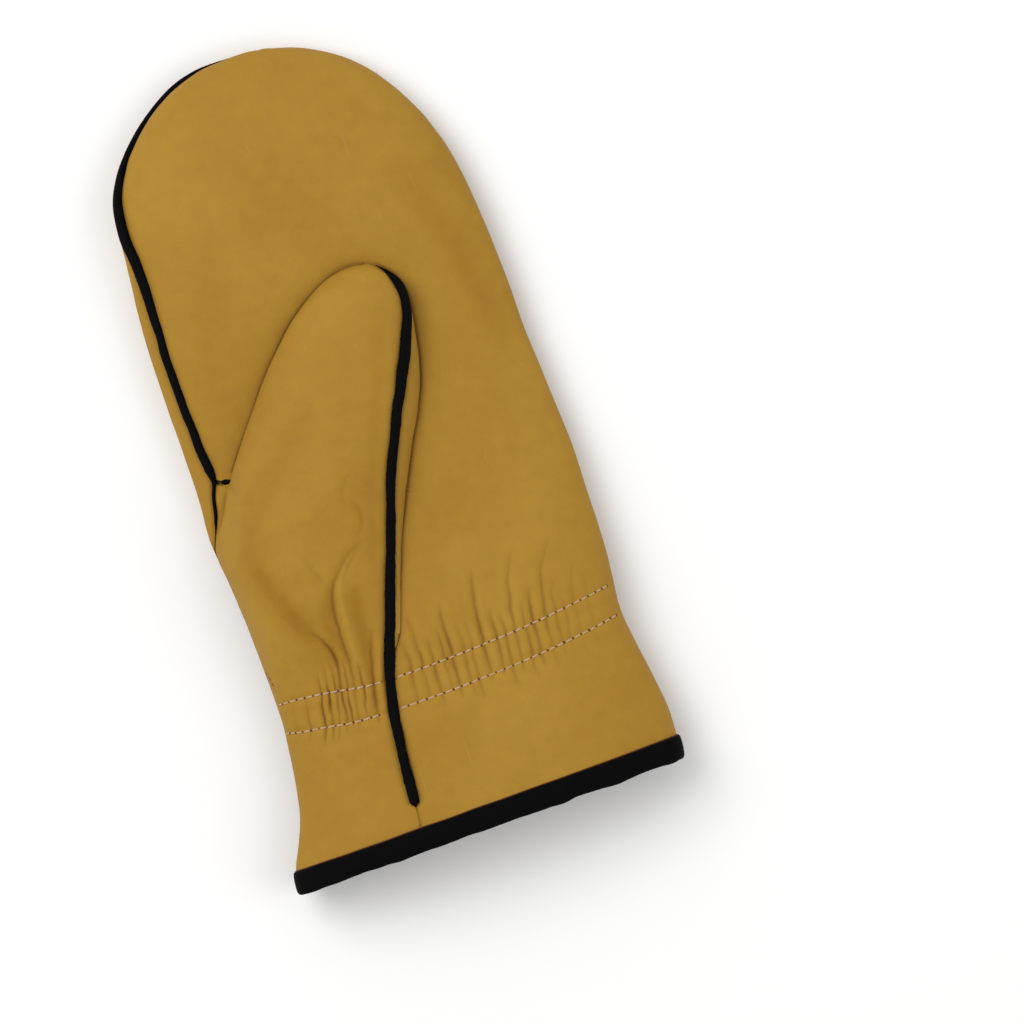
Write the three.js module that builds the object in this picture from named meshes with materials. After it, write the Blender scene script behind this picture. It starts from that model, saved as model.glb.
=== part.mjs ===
// A left-hand leather mitten lying palm up, with its thumb folded over the palm.
// Millimetres. +Y runs from the cuff to the fingertips, +Z is up off the surface it lies on,
// and the thumb side is at -X. The leather panels are thin closed sheets, cut back from the
// seams, and the black welts sit in the seams between them.

import * as THREE from 'three';

// Overall sizes
const LEATHER = 1.4; // wall thickness of the leather
const SEWN_GAP = 0.3; // gap kept between one sewn piece and the next
const OUTLINE_MIDDLE = { x: 0.57, y: 142.6 }; // middle of the outline, where the part's origin is

// Trim
const WELT_RADIUS = 1.75;
const WELT_SIDES = 6;
const WELT_STEP = 4; // length of one straight step of a welt
const WELT_GAP = 0.4; // gap between a welt and the panels' cut edges
const WELT_END_Y = 16; // both long welts stop here, above the cuff's binding
const BINDING = {
  depth: 8.4, // how far it reaches up the cuff, inside and outside
  thickness: 1.0,
  gap: 0.45, // to the leather, outside
  innerGap: 0.8, // to the leather, inside
  rounding: 0.8, // its lower outer edge is drawn in by this
  sides: 54,
};
const HEM_Y = 1.5; // the leather's cut edge, inside the fold of the binding

// Cross-sections are superellipses: one exponent across, one for the top and one for the sole.
const ROUNDNESS = { across: 2.4, top: 2.0, sole: 4.0 };
const SOLE_PRESS = 1.04; // the sole is pressed flat where it would reach past the surface

// The hand's outline and height, station by station from the cuff to the end of the fingertip
// seam: a left and a right point in plan, the height of the side edges, of the top and the sole.
const HAND = table(
  ['leftX', 'leftY', 'rightX', 'rightY', 'edge', 'crown', 'sole'],
  [
    [-70.4, HEM_Y, 70.6, HEM_Y, 16.0, 35.0, 1.5],
    [-69.3, 9.0, 71.6, 9.0, 16.0, 35.2, 1.5],
    [-65.8, 17.0, 72.0, 17.0, 15.5, 35.2, 0.8],
    [-62.6, 25.0, 71.3, 25.0, 15.0, 35.0, 0.0],
    [-60.3, 35.0, 70.1, 35.0, 14.5, 34.6, 0.0],
    [-58.5, 46.0, 68.7, 46.0, 14.0, 34.2, 0.0],
    [-57.0, 57.0, 68.1, 57.0, 13.5, 34.0, 0.0],
    [-56.7, 68.0, 69.0, 68.0, 13.0, 33.6, 0.0],
    [-57.1, 82.0, 70.6, 82.0, 12.5, 32.2, 0.0],
    [-57.6, 97.0, 71.4, 97.0, 12.0, 30.2, 0.0],
    [-58.4, 112.0, 71.6, 112.0, 11.5, 27.8, 0.0],
    [-59.4, 127.0, 71.2, 127.0, 11.0, 25.8, 0.0],
    [-58.3, 143.0, 70.5, 143.0, 10.5, 24.8, 0.0],
    [-57.9, 160.0, 69.9, 160.0, 10.5, 24.6, 0.0],
    [-57.7, 178.0, 69.8, 178.0, 10.5, 25.0, 0.0],
    [-57.2, 196.0, 69.2, 196.0, 10.5, 26.0, 0.0],
    [-56.0, 212.0, 68.0, 212.0, 10.5, 26.8, 0.0],
    [-54.2, 228.0, 65.9, 227.0, 10.5, 27.0, 0.0],
    [-53.0, 242.0, 63.0, 238.0, 10.0, 26.4, 0.0],
    [-49.6, 253.8, 59.0, 248.5, 9.5, 25.0, 0.0],
    [-42.4, 263.8, 54.0, 257.6, 9.0, 22.8, 0.0],
    [-32.2, 272.0, 47.6, 265.8, 8.5, 20.2, 0.0],
    [-20.4, 279.0, 40.0, 272.6, 8.5, 17.4, 0.8],
    [-8.0, 282.7, 32.6, 277.2, 8.5, 14.8, 2.0],
    [2.5, 283.6, 26.8, 279.8, 8.5, 12.6, 3.8],
    [9.4, 283.5, 22.8, 281.2, 8.5, 11.2, 5.4],
    [13.6, 283.1, 19.6, 281.9, 8.5, 10.4, 6.4],
  ],
);

// The thumb side, from the cuff to the thumb's tip: a left point, where the leather turns under,
// and a right point, the crease at the foot of the narrow strip beside the thumb's welt. seamY is
// where the panel's left end meets the hand's seam, crown is the height of the top, lift is the
// share of the thumb's own round section over the hand's, root is the share of the left edge
// that still is the hand's own, foot is the height of the edges above the palm, wrap is how far
// the leather turns under the thumb's left edge, and strip is the width of the strip.
const THUMB = table(
  ['leftX', 'leftY', 'rightX', 'rightY', 'seamY', 'crown', 'lift', 'root', 'foot', 'wrap', 'strip'],
  [
    [-70.4, HEM_Y, -20.6, HEM_Y, HEM_Y, 35.0, 0.0, 1.0, 0.4, 0.0, 3.7],
    [-65.8, 17.0, -18.6, 17.0, 17.0, 35.0, 0.0, 1.0, 0.4, 0.0, 3.7],
    [-60.3, 35.0, -16.8, 35.0, 35.0, 34.0, 0.0, 1.0, 0.4, 0.0, 3.7],
    [-57.4, 52.0, -14.2, 52.0, 52.0, 33.0, 0.0, 1.0, 0.4, 0.0, 3.7],
    [-56.7, 66.0, -10.4, 66.0, 66.0, 34.0, 0.2, 1.0, 0.4, 0.0, 3.7],
    [-57.1, 80.0, -5.2, 80.0, 80.0, 35.5, 0.7, 1.0, 0.4, 0.0, 3.7],
    [-57.6, 95.0, 0.3, 95.0, 95.0, 37.0, 1.0, 1.0, 0.4, 0.0, 3.7],
    [-58.2, 108.0, 4.6, 106.0, 108.0, 38.0, 1.0, 1.0, 0.4, 0.0, 3.7],
    [-57.8, 118.0, 9.2, 116.6, 119.5, 38.6, 1.0, 1.0, 0.6, 0.0, 3.7],
    [-55.2, 126.5, 13.0, 125.2, 130.5, 38.8, 1.0, 1.0, 0.9, 0.0, 3.7],
    [-51.4, 134.2, 18.2, 136.6, 140.0, 38.8, 1.0, 1.0, 1.2, 0.0, 3.7],
    [-48.8, 138.4, 20.6, 141.4, 145.4, 38.7, 1.0, 0.9, 1.6, 1.0, 3.7],
    [-46.2, 142.4, 22.4, 145.0, 147.0, 38.6, 1.0, 0.3, 1.8, 3.0, 3.7],
    [-43.0, 147.0, 24.0, 148.4, 150.0, 38.5, 1.0, 0.0, 2.0, 4.5, 3.7],
    [-38.0, 153.6, 26.8, 154.0, 154.0, 38.2, 1.0, 0.0, 2.0, 5.0, 3.7],
    [-31.1, 162.3, 29.2, 159.6, 162.0, 38.0, 1.0, 0.0, 2.0, 5.0, 3.7],
    [-23.0, 172.4, 31.1, 164.4, 172.0, 37.6, 1.0, 0.0, 2.0, 5.0, 3.5],
    [-15.0, 181.0, 33.2, 171.2, 181.0, 37.0, 1.0, 0.0, 2.0, 5.0, 3.0],
    [-6.7, 188.8, 34.8, 178.4, 189.0, 36.0, 1.0, 0.0, 2.0, 4.5, 1.8],
    [1.3, 194.6, 35.0, 185.2, 195.0, 34.6, 1.0, 0.0, 2.0, 4.0, 1.4],
    [9.0, 198.8, 34.1, 190.6, 199.0, 32.8, 1.0, 0.0, 2.0, 3.0, 1.2],
    [15.0, 200.9, 32.0, 195.4, 201.0, 31.0, 1.0, 0.0, 2.0, 2.0, 1.2],
    [19.2, 201.7, 29.6, 198.5, 202.0, 29.2, 1.0, 0.0, 2.0, 1.2, 1.2],
    [22.4, 201.8, 27.2, 200.3, 202.0, 27.6, 1.0, 0.0, 2.0, 0.8, 1.2],
  ],
);

// Where the hand's seam lies round the hand's left edge, in degrees above the edge, by the
// station's left Y. It runs under the edge from the cuff to the thumb, and over it beyond.
const HAND_SEAM = table(
  ['y', 'degrees'],
  [
    [HEM_Y, -30],
    [17, -27],
    [34, -19],
    [60, -16],
    [100, -14],
    [118, -8],
    [128, 2],
    [138, 13],
    [147, 20],
    [200, 20],
    [228, 16],
    [245, 9],
    [264, 2],
    [280, -4],
    [286, -5],
  ],
);

const STRIP_START_Y = 77; // below this the strip has run out, and the welt lies on the palm
const STRIP_RUNOUT = 10; // length over which the palm's edge comes in to meet the strip
const THUMB_CLEARANCE = 0.7; // gap under the thumb where it rests on the palm
const FOOT_INSET = 0.6; // share of the wall by which the thumb's inner edges lie higher
const ROOT_REACH = 0.4; // share of a section over which the thumb's round side rises at its root

// The seam under the thumb, in plan, and the piece of welt that shows at its left end
const CROTCH = { right: [11.0, 120.0], left: [-51.4, 147.2] };
const CROTCH_WELT = {
  from: 0.085, // where it starts and ends, as shares of the seam's length
  to: 0.22,
  step: 0.045,
  shiftX: -0.4, // off the seam, so that it lies in front of the palm's edge
  shiftY: -0.9,
  rise: -0.2, // of its middle over the palm's surface
  radius: 1.2,
};

// The palm is pressed down under the thumb.
const THUMB_BED = { from: [-26, 140], to: [20, 186], depth: 4.2, reach: 24 };

// Folds along the hand, where the wrist elastic draws the palm side in
const GATHERS = {
  from: 42, // Y of the start, of the two rows of elastic and of the end
  lowerRow: 51,
  upperRow: 66,
  to: 96,
  pitch: 11.5, // from one fold to the next at the elastic
  fan: 0.006, // share by which they spread for each millimetre above the elastic
  depth: 1.7,
  middleX: -6,
  reach: 58, // to either side of the middle
  fullShare: 0.55, // share of the reach over which the folds have their full depth
};

// Stations of the sheets, by the Y of their left ends, and columns across
const HAND_ROWS = [
  HEM_Y, 7.5, 13.6, 16, 24, 34, 43, 51, 58.5, 66, 74, 83, 94, 106, 116, 123, 129, 135, 140, 144,
  147.4, 155, 166, 178, 190, 202, 213, 223, 232, 241, 249, 257, 264, 270, 275, 279.2, 282, 283.3,
];
const THUMB_ROWS = [
  HEM_Y, 7.5, 13.6, 16, 24, 32, 40, 48, 55, 62, 69, 77, 86, 95, 104, 112, 119, 125, 130, 134, 136.8,
  139, 141, 143, 146.5, 151.5, 158, 165.5, 173, 180.5, 187, 192.5, 197, 199.8, 201.1,
];
const COLUMNS = { palm: 18, back: 14, thumbFront: 20, thumbBack: 10 };
const CROWDING = { palm: 0.9, back: 2.8 }; // how strongly the columns crowd towards the edges

const COLOURS = { leather: 0xae8836, trim: 0x0d0d0e };

const leather = (name) =>
  new THREE.MeshStandardMaterial({ name, color: COLOURS.leather, roughness: 0.62, metalness: 0 });
const trim = (name) =>
  new THREE.MeshStandardMaterial({ name, color: COLOURS.trim, roughness: 0.55, metalness: 0 });

// Turns rows of numbers into rows with named columns.
function table(columns, rows) {
  return rows.map((row) => Object.fromEntries(columns.map((name, i) => [name, row[i]])));
}

const evenShares = (count) => Array.from({ length: count + 1 }, (_, i) => i / count);
const mix = (a, b, t) => a + (b - a) * t;
const clamp = (v, low, high) => Math.min(high, Math.max(low, v));
const smooth = (low, high, v) => {
  const t = clamp((v - low) / (high - low), 0, 1);
  return t * t * (3 - 2 * t);
};

// A smooth curve through a table: returns a function from a position along the knots to a row.
function spline(rows, knots) {
  const names = Object.keys(rows[0]);
  const last = rows.length - 1;
  const slope = (name, i) => {
    const a = Math.max(0, i - 1);
    const b = Math.min(last, i + 1);
    return (rows[b][name] - rows[a][name]) / (knots[b] - knots[a]);
  };
  return (at) => {
    const v = clamp(at, knots[0], knots[last]);
    let i = 0;
    while (i < last - 1 && v > knots[i + 1]) i++;
    const h = knots[i + 1] - knots[i];
    const t = (v - knots[i]) / h;
    const t2 = t * t;
    const t3 = t2 * t;
    const row = {};
    for (const name of names)
      row[name] =
        (2 * t3 - 3 * t2 + 1) * rows[i][name] +
        (t3 - 2 * t2 + t) * h * slope(name, i) +
        (3 * t2 - 2 * t3) * rows[i + 1][name] +
        (t3 - t2) * h * slope(name, i + 1);
    return row;
  };
}

// Distances along a table of stations, measured midway between its left and right points.
function stationKnots(rows) {
  const knots = [0];
  for (let i = 1; i < rows.length; i++) {
    const a = rows[i - 1];
    const b = rows[i];
    const left = Math.hypot(b.leftX - a.leftX, b.leftY - a.leftY);
    const right = Math.hypot(b.rightX - a.rightX, b.rightY - a.rightY);
    knots.push(knots[i - 1] + (left + right) / 2);
  }
  return knots;
}

const handKnots = stationKnots(HAND);
const handStation = spline(HAND, handKnots);
const thumbKnots = stationKnots(THUMB);
const thumbStation = spline(THUMB, thumbKnots);
const handSeam = spline(HAND_SEAM, HAND_SEAM.map((row) => row.y));

const HALVINGS = 40; // enough to find a station to well under a micrometre

// The station whose left or right end has this Y.
function stationAt(station, knots, y, end = 'leftY') {
  let low = 0;
  let high = knots.at(-1);
  for (let i = 0; i < HALVINGS; i++) {
    const middle = (low + high) / 2;
    if (station(middle)[end] < y) low = middle;
    else high = middle;
  }
  return (low + high) / 2;
}

// Where the leather's palm side is drawn in by the wrist elastic, at a point in plan.
function gatherDepth(x, y) {
  const g = GATHERS;
  const along = smooth(g.from, g.lowerRow, y) * (1 - smooth(g.upperRow, g.to, y));
  const across = 1 - smooth(g.fullShare, 1, Math.abs(x - g.middleX) / g.reach);
  const pitch = g.pitch * (1 + g.fan * Math.max(0, y - g.upperRow));
  const fold = (1 - Math.cos((2 * Math.PI * (x - g.middleX)) / pitch)) / 2;
  return g.depth * along * across * fold;
}

// How far the palm is pressed down under the thumb, at a point in plan.
function bedDepth(x, y) {
  const [ax, ay] = THUMB_BED.from;
  const [bx, by] = THUMB_BED.to;
  const length2 = (bx - ax) ** 2 + (by - ay) ** 2;
  const t = clamp(((x - ax) * (bx - ax) + (y - ay) * (by - ay)) / length2, 0, 1);
  const d = Math.hypot(x - mix(ax, bx, t), y - mix(ay, by, t));
  return THUMB_BED.depth * Math.exp(-((d / THUMB_BED.reach) ** 2));
}

// A superellipse's two coordinates, from -1 to 1, at an angle: 0 is the left edge, a quarter
// turn is the top, a half turn is the right edge, and negative angles go under.
function sectionAt(angle) {
  const c = -Math.cos(angle);
  const s = Math.sin(angle);
  const power = s > 0 ? ROUNDNESS.top : ROUNDNESS.sole;
  return {
    across: Math.sign(c) * Math.abs(c) ** (2 / ROUNDNESS.across),
    up: Math.sign(s) * Math.abs(s) ** (2 / power),
  };
}

// The point in plan at a share across a station, from -1 to 1, inset from both of its ends.
function planPoint(row, across, inset) {
  const dx = row.rightX - row.leftX;
  const dy = row.rightY - row.leftY;
  const share = 0.5 + (0.5 - inset / Math.hypot(dx, dy)) * across;
  return { x: row.leftX + dx * share, y: row.leftY + dy * share };
}

// A point of the hand's surface, inset from the outside of the leather.
function handPoint(position, angle, inset) {
  const row = handStation(position);
  const { across, up } = sectionAt(angle);
  const { x, y } = planPoint(row, across, inset);
  if (up >= 0) {
    const top = row.crown - bedDepth(x, y) - gatherDepth(x, y) - inset;
    return new THREE.Vector3(x, y, mix(row.edge, top, up));
  }
  const sole = Math.max(0, row.sole) + inset;
  return new THREE.Vector3(x, y, Math.max(sole, mix(row.edge, sole, -up * SOLE_PRESS)));
}

// The angle on the hand's top at which its section has this X.
function handTopAngle(position, x) {
  const row = handStation(position);
  const across = clamp((2 * (x - row.leftX)) / (row.rightX - row.leftX) - 1, -1, 1);
  return Math.acos(-Math.sign(across) * Math.abs(across) ** (ROUNDNESS.across / 2));
}

// Height of the hand's top above the surface it lies on, below the fingertips.
function palmHeight(x, y) {
  const position = stationAt(handStation, handKnots, y);
  return handPoint(position, handTopAngle(position, x), 0).z;
}

// A point of the thumb's own section, inset from the outside of the leather. Its underside
// follows the palm that it rests on.
function thumbPoint(position, angle, inset) {
  const row = thumbStation(position);
  const { across, up } = sectionAt(angle);
  const { x, y } = planPoint(row, across, inset);
  const palm = palmHeight(x, y);
  const edge = palm + row.foot + inset * FOOT_INSET;
  if (up >= 0)
    return new THREE.Vector3(x, y, mix(edge, row.crown - gatherDepth(x, y) - inset, up));
  return new THREE.Vector3(x, y, mix(edge, palm + THUMB_CLEARANCE + inset, -up));
}

// The thumb's angle for a plan distance in from the right edge of its section, or from the left.
function thumbAngleFromEdge(position, distance) {
  const row = thumbStation(position);
  const half = Math.hypot(row.rightX - row.leftX, row.rightY - row.leftY) / 2;
  return Math.acos(clamp(1 - distance / half, 0, 1) ** (ROUNDNESS.across / 2));
}

// The angle of the hand's seam at a station.
const seamAngle = (position) =>
  THREE.MathUtils.degToRad(handSeam(handStation(position).leftY).degrees);

const SECTION_STEPS = 72; // steps of a section before it is cut back and spaced into columns
const FOLD_INDEX = 108; // on the hand panel, the steps from its seam to its fold
const WELT_PATH_STEP = 2; // distance between the points that lead a welt

// The palm-side panel's section at a thumb station: from the hand's seam, or from the seam under
// the thumb, over the top to the thumb's welt.
function frontSection(position, inset) {
  const row = thumbStation(position);
  const weltAngle = Math.PI - thumbAngleFromEdge(position, row.strip);
  const weltPlan = thumbPoint(position, weltAngle, 0);
  const below = -thumbAngleFromEdge(position, row.wrap);
  const handFrom = stationAt(handStation, handKnots, row.seamY);
  const handTo = stationAt(handStation, handKnots, weltPlan.y);
  const fromAngle = seamAngle(handFrom);
  const toAngle = handTopAngle(handTo, weltPlan.x);
  const points = [];
  for (let i = 0; i <= SECTION_STEPS; i++) {
    const t = i / SECTION_STEPS;
    const onHand = handPoint(mix(handFrom, handTo, t), mix(fromAngle, toAngle, t), inset);
    const onThumb = thumbPoint(position, mix(below, weltAngle, t), inset);
    const rooted = clamp(row.root, 0, 1) * (1 - smooth(0, ROOT_REACH, t));
    points.push(onHand.lerp(onThumb, clamp(row.lift * (1 - rooted), 0, 1)));
  }
  return points;
}

// The two long welts run along the ends of these sections.
const thumbLength = thumbKnots.at(-1);
const handLength = handKnots.at(-1);

function pathAlong(from, to, step, pointAt) {
  return evenShares(Math.round((to - from) / step)).map((t) => pointAt(mix(from, to, t)));
}

const handWeltStart = stationAt(handStation, handKnots, WELT_END_Y);
const handWeltPath = pathAlong(handWeltStart, handLength, WELT_PATH_STEP, (p) =>
  handPoint(p, seamAngle(p), 0),
);
const thumbWeltStart = stationAt(thumbStation, thumbKnots, WELT_END_Y);
const thumbWeltPath = pathAlong(thumbWeltStart, thumbLength, WELT_PATH_STEP, (p) =>
  frontSection(p, 0).at(-1),
);

const crotchWeltPath = pathAlong(CROTCH_WELT.from, CROTCH_WELT.to, CROTCH_WELT.step, (t) => {
  const x = mix(CROTCH.left[0], CROTCH.right[0], t) + CROTCH_WELT.shiftX;
  const y = mix(CROTCH.left[1], CROTCH.right[1], t) + CROTCH_WELT.shiftY;
  return new THREE.Vector3(x, y, palmHeight(x, y) + CROTCH_WELT.rise);
});

// Distance from a point to a path of straight steps.
function distanceToPath(point, path) {
  let best = Infinity;
  const line = new THREE.Line3();
  const nearest = new THREE.Vector3();
  for (let i = 1; i < path.length; i++) {
    line.set(path[i - 1], path[i]).closestPointToPoint(point, true, nearest);
    best = Math.min(best, nearest.distanceTo(point));
  }
  return best;
}

const clearOfWelts = (point) =>
  distanceToPath(point, handWeltPath) > WELT_RADIUS + WELT_GAP &&
  distanceToPath(point, thumbWeltPath) > WELT_RADIUS + WELT_GAP &&
  distanceToPath(point, crotchWeltPath) > CROTCH_WELT.radius + WELT_GAP;

const LEAST_STEPS = 3; // a section keeps at least these

// The part of a section, as a first and a last index, that is left when both of its ends are cut
// back from the seams and the welts.
function cutBack(outer, inner, from, to) {
  const tooNear = (i, end) =>
    outer[i].distanceTo(outer[end]) < SEWN_GAP || !clearOfWelts(outer[i]) || !clearOfWelts(inner[i]);
  let first = from;
  let last = to;
  while (first < last - LEAST_STEPS && tooNear(first, from)) first++;
  while (last > first + LEAST_STEPS && tooNear(last, to)) last--;
  return [first, last];
}

// Places for the columns between two indices of a section's points, as fractional indices: partly
// even along its length, and partly even by index, because the points crowd round the edges.
function columnPlaces(points, from, to, { columns, crowding = CROWDING.palm }) {
  const walked = [0];
  for (let i = from + 1; i <= to; i++)
    walked.push(walked.at(-1) + points[i].distanceTo(points[i - 1]));
  const stretch = (crowding * walked.at(-1)) / (to - from);
  walked.forEach((length, i) => {
    walked[i] = length + stretch * i;
  });
  let k = 1;
  return evenShares(columns).map((share) => {
    const at = share * walked.at(-1);
    while (k < walked.length - 1 && walked[k] < at) k++;
    return from + k - 1 + clamp((at - walked[k - 1]) / (walked[k] - walked[k - 1]), 0, 1);
  });
}

// The points at fractional indices.
const pointsAt = (points, places) =>
  places.map((place) => {
    const i = Math.min(Math.floor(place), points.length - 2);
    return points[i].clone().lerp(points[i + 1], place - i);
  });

// A panel between stations, from a function that gives a section's points for an inset from the
// outside. Each section is cut back from the seams at both of its ends. runs gives the number of
// columns, and for a panel that is folded also the index at which the first run of them ends.
function panelBetween(positions, sectionOf, runs, inPanel = () => true) {
  const outside = [];
  const inside = [];
  for (const position of positions) {
    const outer = sectionOf(position, 0);
    const inner = sectionOf(position, LEATHER);
    const end = outer.findLastIndex((point, i) => inPanel(point, i / (outer.length - 1)));
    const [first, last] = cutBack(outer, inner, 0, end);
    const places = [first];
    for (const run of runs)
      places.push(...columnPlaces(outer, places.at(-1), run.endsAt ?? last, run).slice(1));
    outside.push(pointsAt(outer, places));
    inside.push(pointsAt(inner, places));
  }
  return panelGeometry(outside, inside);
}

// A closed solid between two grids of points, the outside and the inside of a panel.
function panelGeometry(outside, inside) {
  const rows = outside.length;
  const columns = outside[0].length;
  const positions = [...outside.flat(), ...inside.flat()].flatMap((p) => [p.x, p.y, p.z]);
  const inner = rows * columns;
  const at = (i, j) => i * columns + j;
  const index = [];
  const quad = (a, b, c, d) => index.push(a, b, c, a, c, d);
  for (let i = 0; i < rows - 1; i++)
    for (let j = 0; j < columns - 1; j++) {
      quad(at(i, j), at(i, j + 1), at(i + 1, j + 1), at(i + 1, j));
      quad(inner + at(i, j), inner + at(i + 1, j), inner + at(i + 1, j + 1), inner + at(i, j + 1));
    }
  for (let i = 0; i < rows - 1; i++) {
    const far = columns - 1;
    quad(at(i, 0), at(i + 1, 0), inner + at(i + 1, 0), inner + at(i, 0));
    quad(at(i, far), inner + at(i, far), inner + at(i + 1, far), at(i + 1, far));
  }
  for (let j = 0; j < columns - 1; j++) {
    const far = rows - 1;
    quad(at(0, j), inner + at(0, j), inner + at(0, j + 1), at(0, j + 1));
    quad(at(far, j), at(far, j + 1), inner + at(far, j + 1), inner + at(far, j));
  }
  return closedGeometry(positions, index);
}

// A ring-shaped solid from closed rings of points, each joined to the next and the last to the
// first.
function ringGeometry(rings) {
  const count = rings.length;
  const sides = rings[0].length;
  const positions = rings.flat().flatMap((p) => [p.x, p.y, p.z]);
  const index = [];
  for (let i = 0; i < count; i++)
    for (let j = 0; j < sides; j++) {
      const a = i * sides + j;
      const b = i * sides + ((j + 1) % sides);
      const c = ((i + 1) % count) * sides + ((j + 1) % sides);
      const d = ((i + 1) % count) * sides + j;
      index.push(a, b, c, a, c, d);
    }
  return closedGeometry(positions, index);
}

// Builds the geometry with its faces pointing out, whichever way the grid was walked.
function closedGeometry(positions, index) {
  let volume = 0;
  const corner = (i) => new THREE.Vector3().fromArray(positions, index[i] * 3);
  for (let i = 0; i < index.length; i += 3)
    volume += corner(i).dot(corner(i + 1).cross(corner(i + 2)));
  if (volume < 0)
    for (let i = 0; i < index.length; i += 3)
      [index[i + 1], index[i + 2]] = [index[i + 2], index[i + 1]];
  const geometry = new THREE.BufferGeometry();
  geometry.setAttribute('position', new THREE.Float32BufferAttribute(positions, 3));
  geometry.setIndex(index);
  return geometry;
}

// The hand panel's section at a Y: from the hand's seam under and round to the fold on the
// little-finger side, and back over the palm to the seam, the crotch seam or the thumb's crease.
function handSection(position, inset) {
  const { leftY } = handStation(position);
  const start = seamAngle(position);
  const fold = -Math.PI;
  const whole = start - 2 * Math.PI;
  const stop =
    leftY < CROTCH.left[1] ? handTopAngle(position, palmEdgeX(leftY)) - 2 * Math.PI : whole;
  const angles = [
    ...evenShares(FOLD_INDEX).map((t) => mix(start, fold, t)),
    ...evenShares(FOLD_INDEX).map((t) => mix(fold, stop, t)),
  ];
  angles.splice(FOLD_INDEX, 1);
  return angles.map((angle) => handPoint(position, angle, inset));
}

// The X at which the hand panel's palm side ends, below the crotch seam's left end.
function palmEdgeX(y) {
  const [seamX, seamY] = CROTCH.right;
  const [endX, endY] = CROTCH.left;
  if (y > seamY) return mix(seamX, endX, (y - seamY) / (endY - seamY));
  const position = stationAt(thumbStation, thumbKnots, y, 'rightY');
  const { rightX, strip } = thumbStation(position);
  const opening = smooth(STRIP_START_Y - STRIP_RUNOUT, STRIP_START_Y, y);
  return mix(rightX - strip, rightX + SEWN_GAP, opening);
}

function handPanel() {
  const positions = HAND_ROWS.map((y) => stationAt(handStation, handKnots, y));
  const back = { columns: COLUMNS.back, crowding: CROWDING.back, endsAt: FOLD_INDEX };
  const runs = [back, { columns: COLUMNS.palm }];
  return panelBetween(positions, handSection, runs);
}

const thumbPositions = THUMB_ROWS.map((y) => stationAt(thumbStation, thumbKnots, y));

function thumbFront() {
  return panelBetween(thumbPositions, frontSection, [{ columns: COLUMNS.thumbFront }]);
}

// True on the thumb's side of the crotch seam, in plan.
function beyondCrotch(point) {
  const [ax, ay] = CROTCH.right;
  const [bx, by] = CROTCH.left;
  return (bx - ax) * (point.y - ay) - (by - ay) * (point.x - ax) < 0;
}

// The back of the thumb at a thumb station: from the welt, over the strip to the crease, and
// under the thumb to the crotch seam or to the seam by the thumb's left edge.
function backSection(position, inset) {
  const row = thumbStation(position);
  const weltAngle = Math.PI - thumbAngleFromEdge(position, row.strip);
  const endAngle = 2 * Math.PI - thumbAngleFromEdge(position, row.wrap);
  const welt = frontSection(position, inset).at(-1);
  const raw = thumbPoint(position, weltAngle, inset);
  const shift = welt.sub(raw);
  const points = [];
  for (let i = 0; i <= SECTION_STEPS; i++) {
    const angle = mix(weltAngle, endAngle, i / SECTION_STEPS);
    const point = thumbPoint(position, angle, inset);
    const near = clamp((Math.PI - angle) / (Math.PI - weltAngle), 0, 1);
    point.addScaledVector(shift, near);
    points.push(point);
  }
  return points;
}

const STRIP_SHARE = 0.2; // share of the back's section that the strip takes
const FIRST_ROW_GAP = 2; // least distance from the strip's start to the first station beyond it

function thumbBack() {
  const start = stationAt(thumbStation, thumbKnots, STRIP_START_Y, 'rightY');
  const rows = [start, ...thumbPositions.filter((position) => position > start + FIRST_ROW_GAP)];
  const inPanel = (point, share) => share < STRIP_SHARE || beyondCrotch(point);
  return panelBetween(rows, backSection, [{ columns: COLUMNS.thumbBack }], inPanel);
}

// A welt: a round bead of folded strip along a seam.
function weltGeometry(path, radius = WELT_RADIUS) {
  const shape = new THREE.Shape();
  for (let i = 0; i < WELT_SIDES; i++) {
    const angle = (2 * Math.PI * i) / WELT_SIDES;
    const x = radius * Math.cos(angle);
    const y = radius * Math.sin(angle);
    if (i === 0) shape.moveTo(x, y);
    else shape.lineTo(x, y);
  }
  shape.closePath();
  const curve = new THREE.CatmullRomCurve3(path);
  const steps = Math.round(curve.getLength() / WELT_STEP);
  return new THREE.ExtrudeGeometry(shape, { steps, bevelEnabled: false, extrudePath: curve });
}

const RING_STEPS = 360; // steps round the cuff before they are spaced into the binding's sides

// The binding: a band folded over the cuff's edge, outside and inside.
function bindingGeometry() {
  const out = BINDING.gap + BINDING.thickness;
  const inside = LEATHER + BINDING.innerGap;
  const profile = [
    [BINDING.depth, BINDING.gap],
    [BINDING.depth, out],
    [BINDING.thickness, out],
    [0, out - BINDING.rounding],
    [0, -inside],
    [BINDING.thickness, -inside - BINDING.thickness],
    [BINDING.depth, -inside - BINDING.thickness],
    [BINDING.depth, -inside],
    [HEM_Y - SEWN_GAP, -inside],
    [HEM_Y - SEWN_GAP, BINDING.gap],
  ];
  const rings = profile.map(([y, offset]) => {
    const position = stationAt(handStation, handKnots, Math.max(y, HEM_Y));
    const dense = evenShares(RING_STEPS).map((t) => handPoint(position, 2 * Math.PI * t, 0));
    const places = columnPlaces(dense, 0, dense.length - 1, { columns: BINDING.sides });
    const ring = pointsAt(dense, places).slice(0, -1);
    return ring.map((point, i) => {
      const before = ring.at(i - 1);
      const after = ring[(i + 1) % ring.length];
      const normal = new THREE.Vector3(before.z - after.z, 0, after.x - before.x).normalize();
      return new THREE.Vector3(point.x + normal.x * offset, y, point.z + normal.z * offset);
    });
  });
  return ringGeometry(rings);
}

function node(name, geometry, material) {
  const mesh = new THREE.Mesh(geometry, material);
  mesh.name = name;
  return mesh;
}

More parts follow.
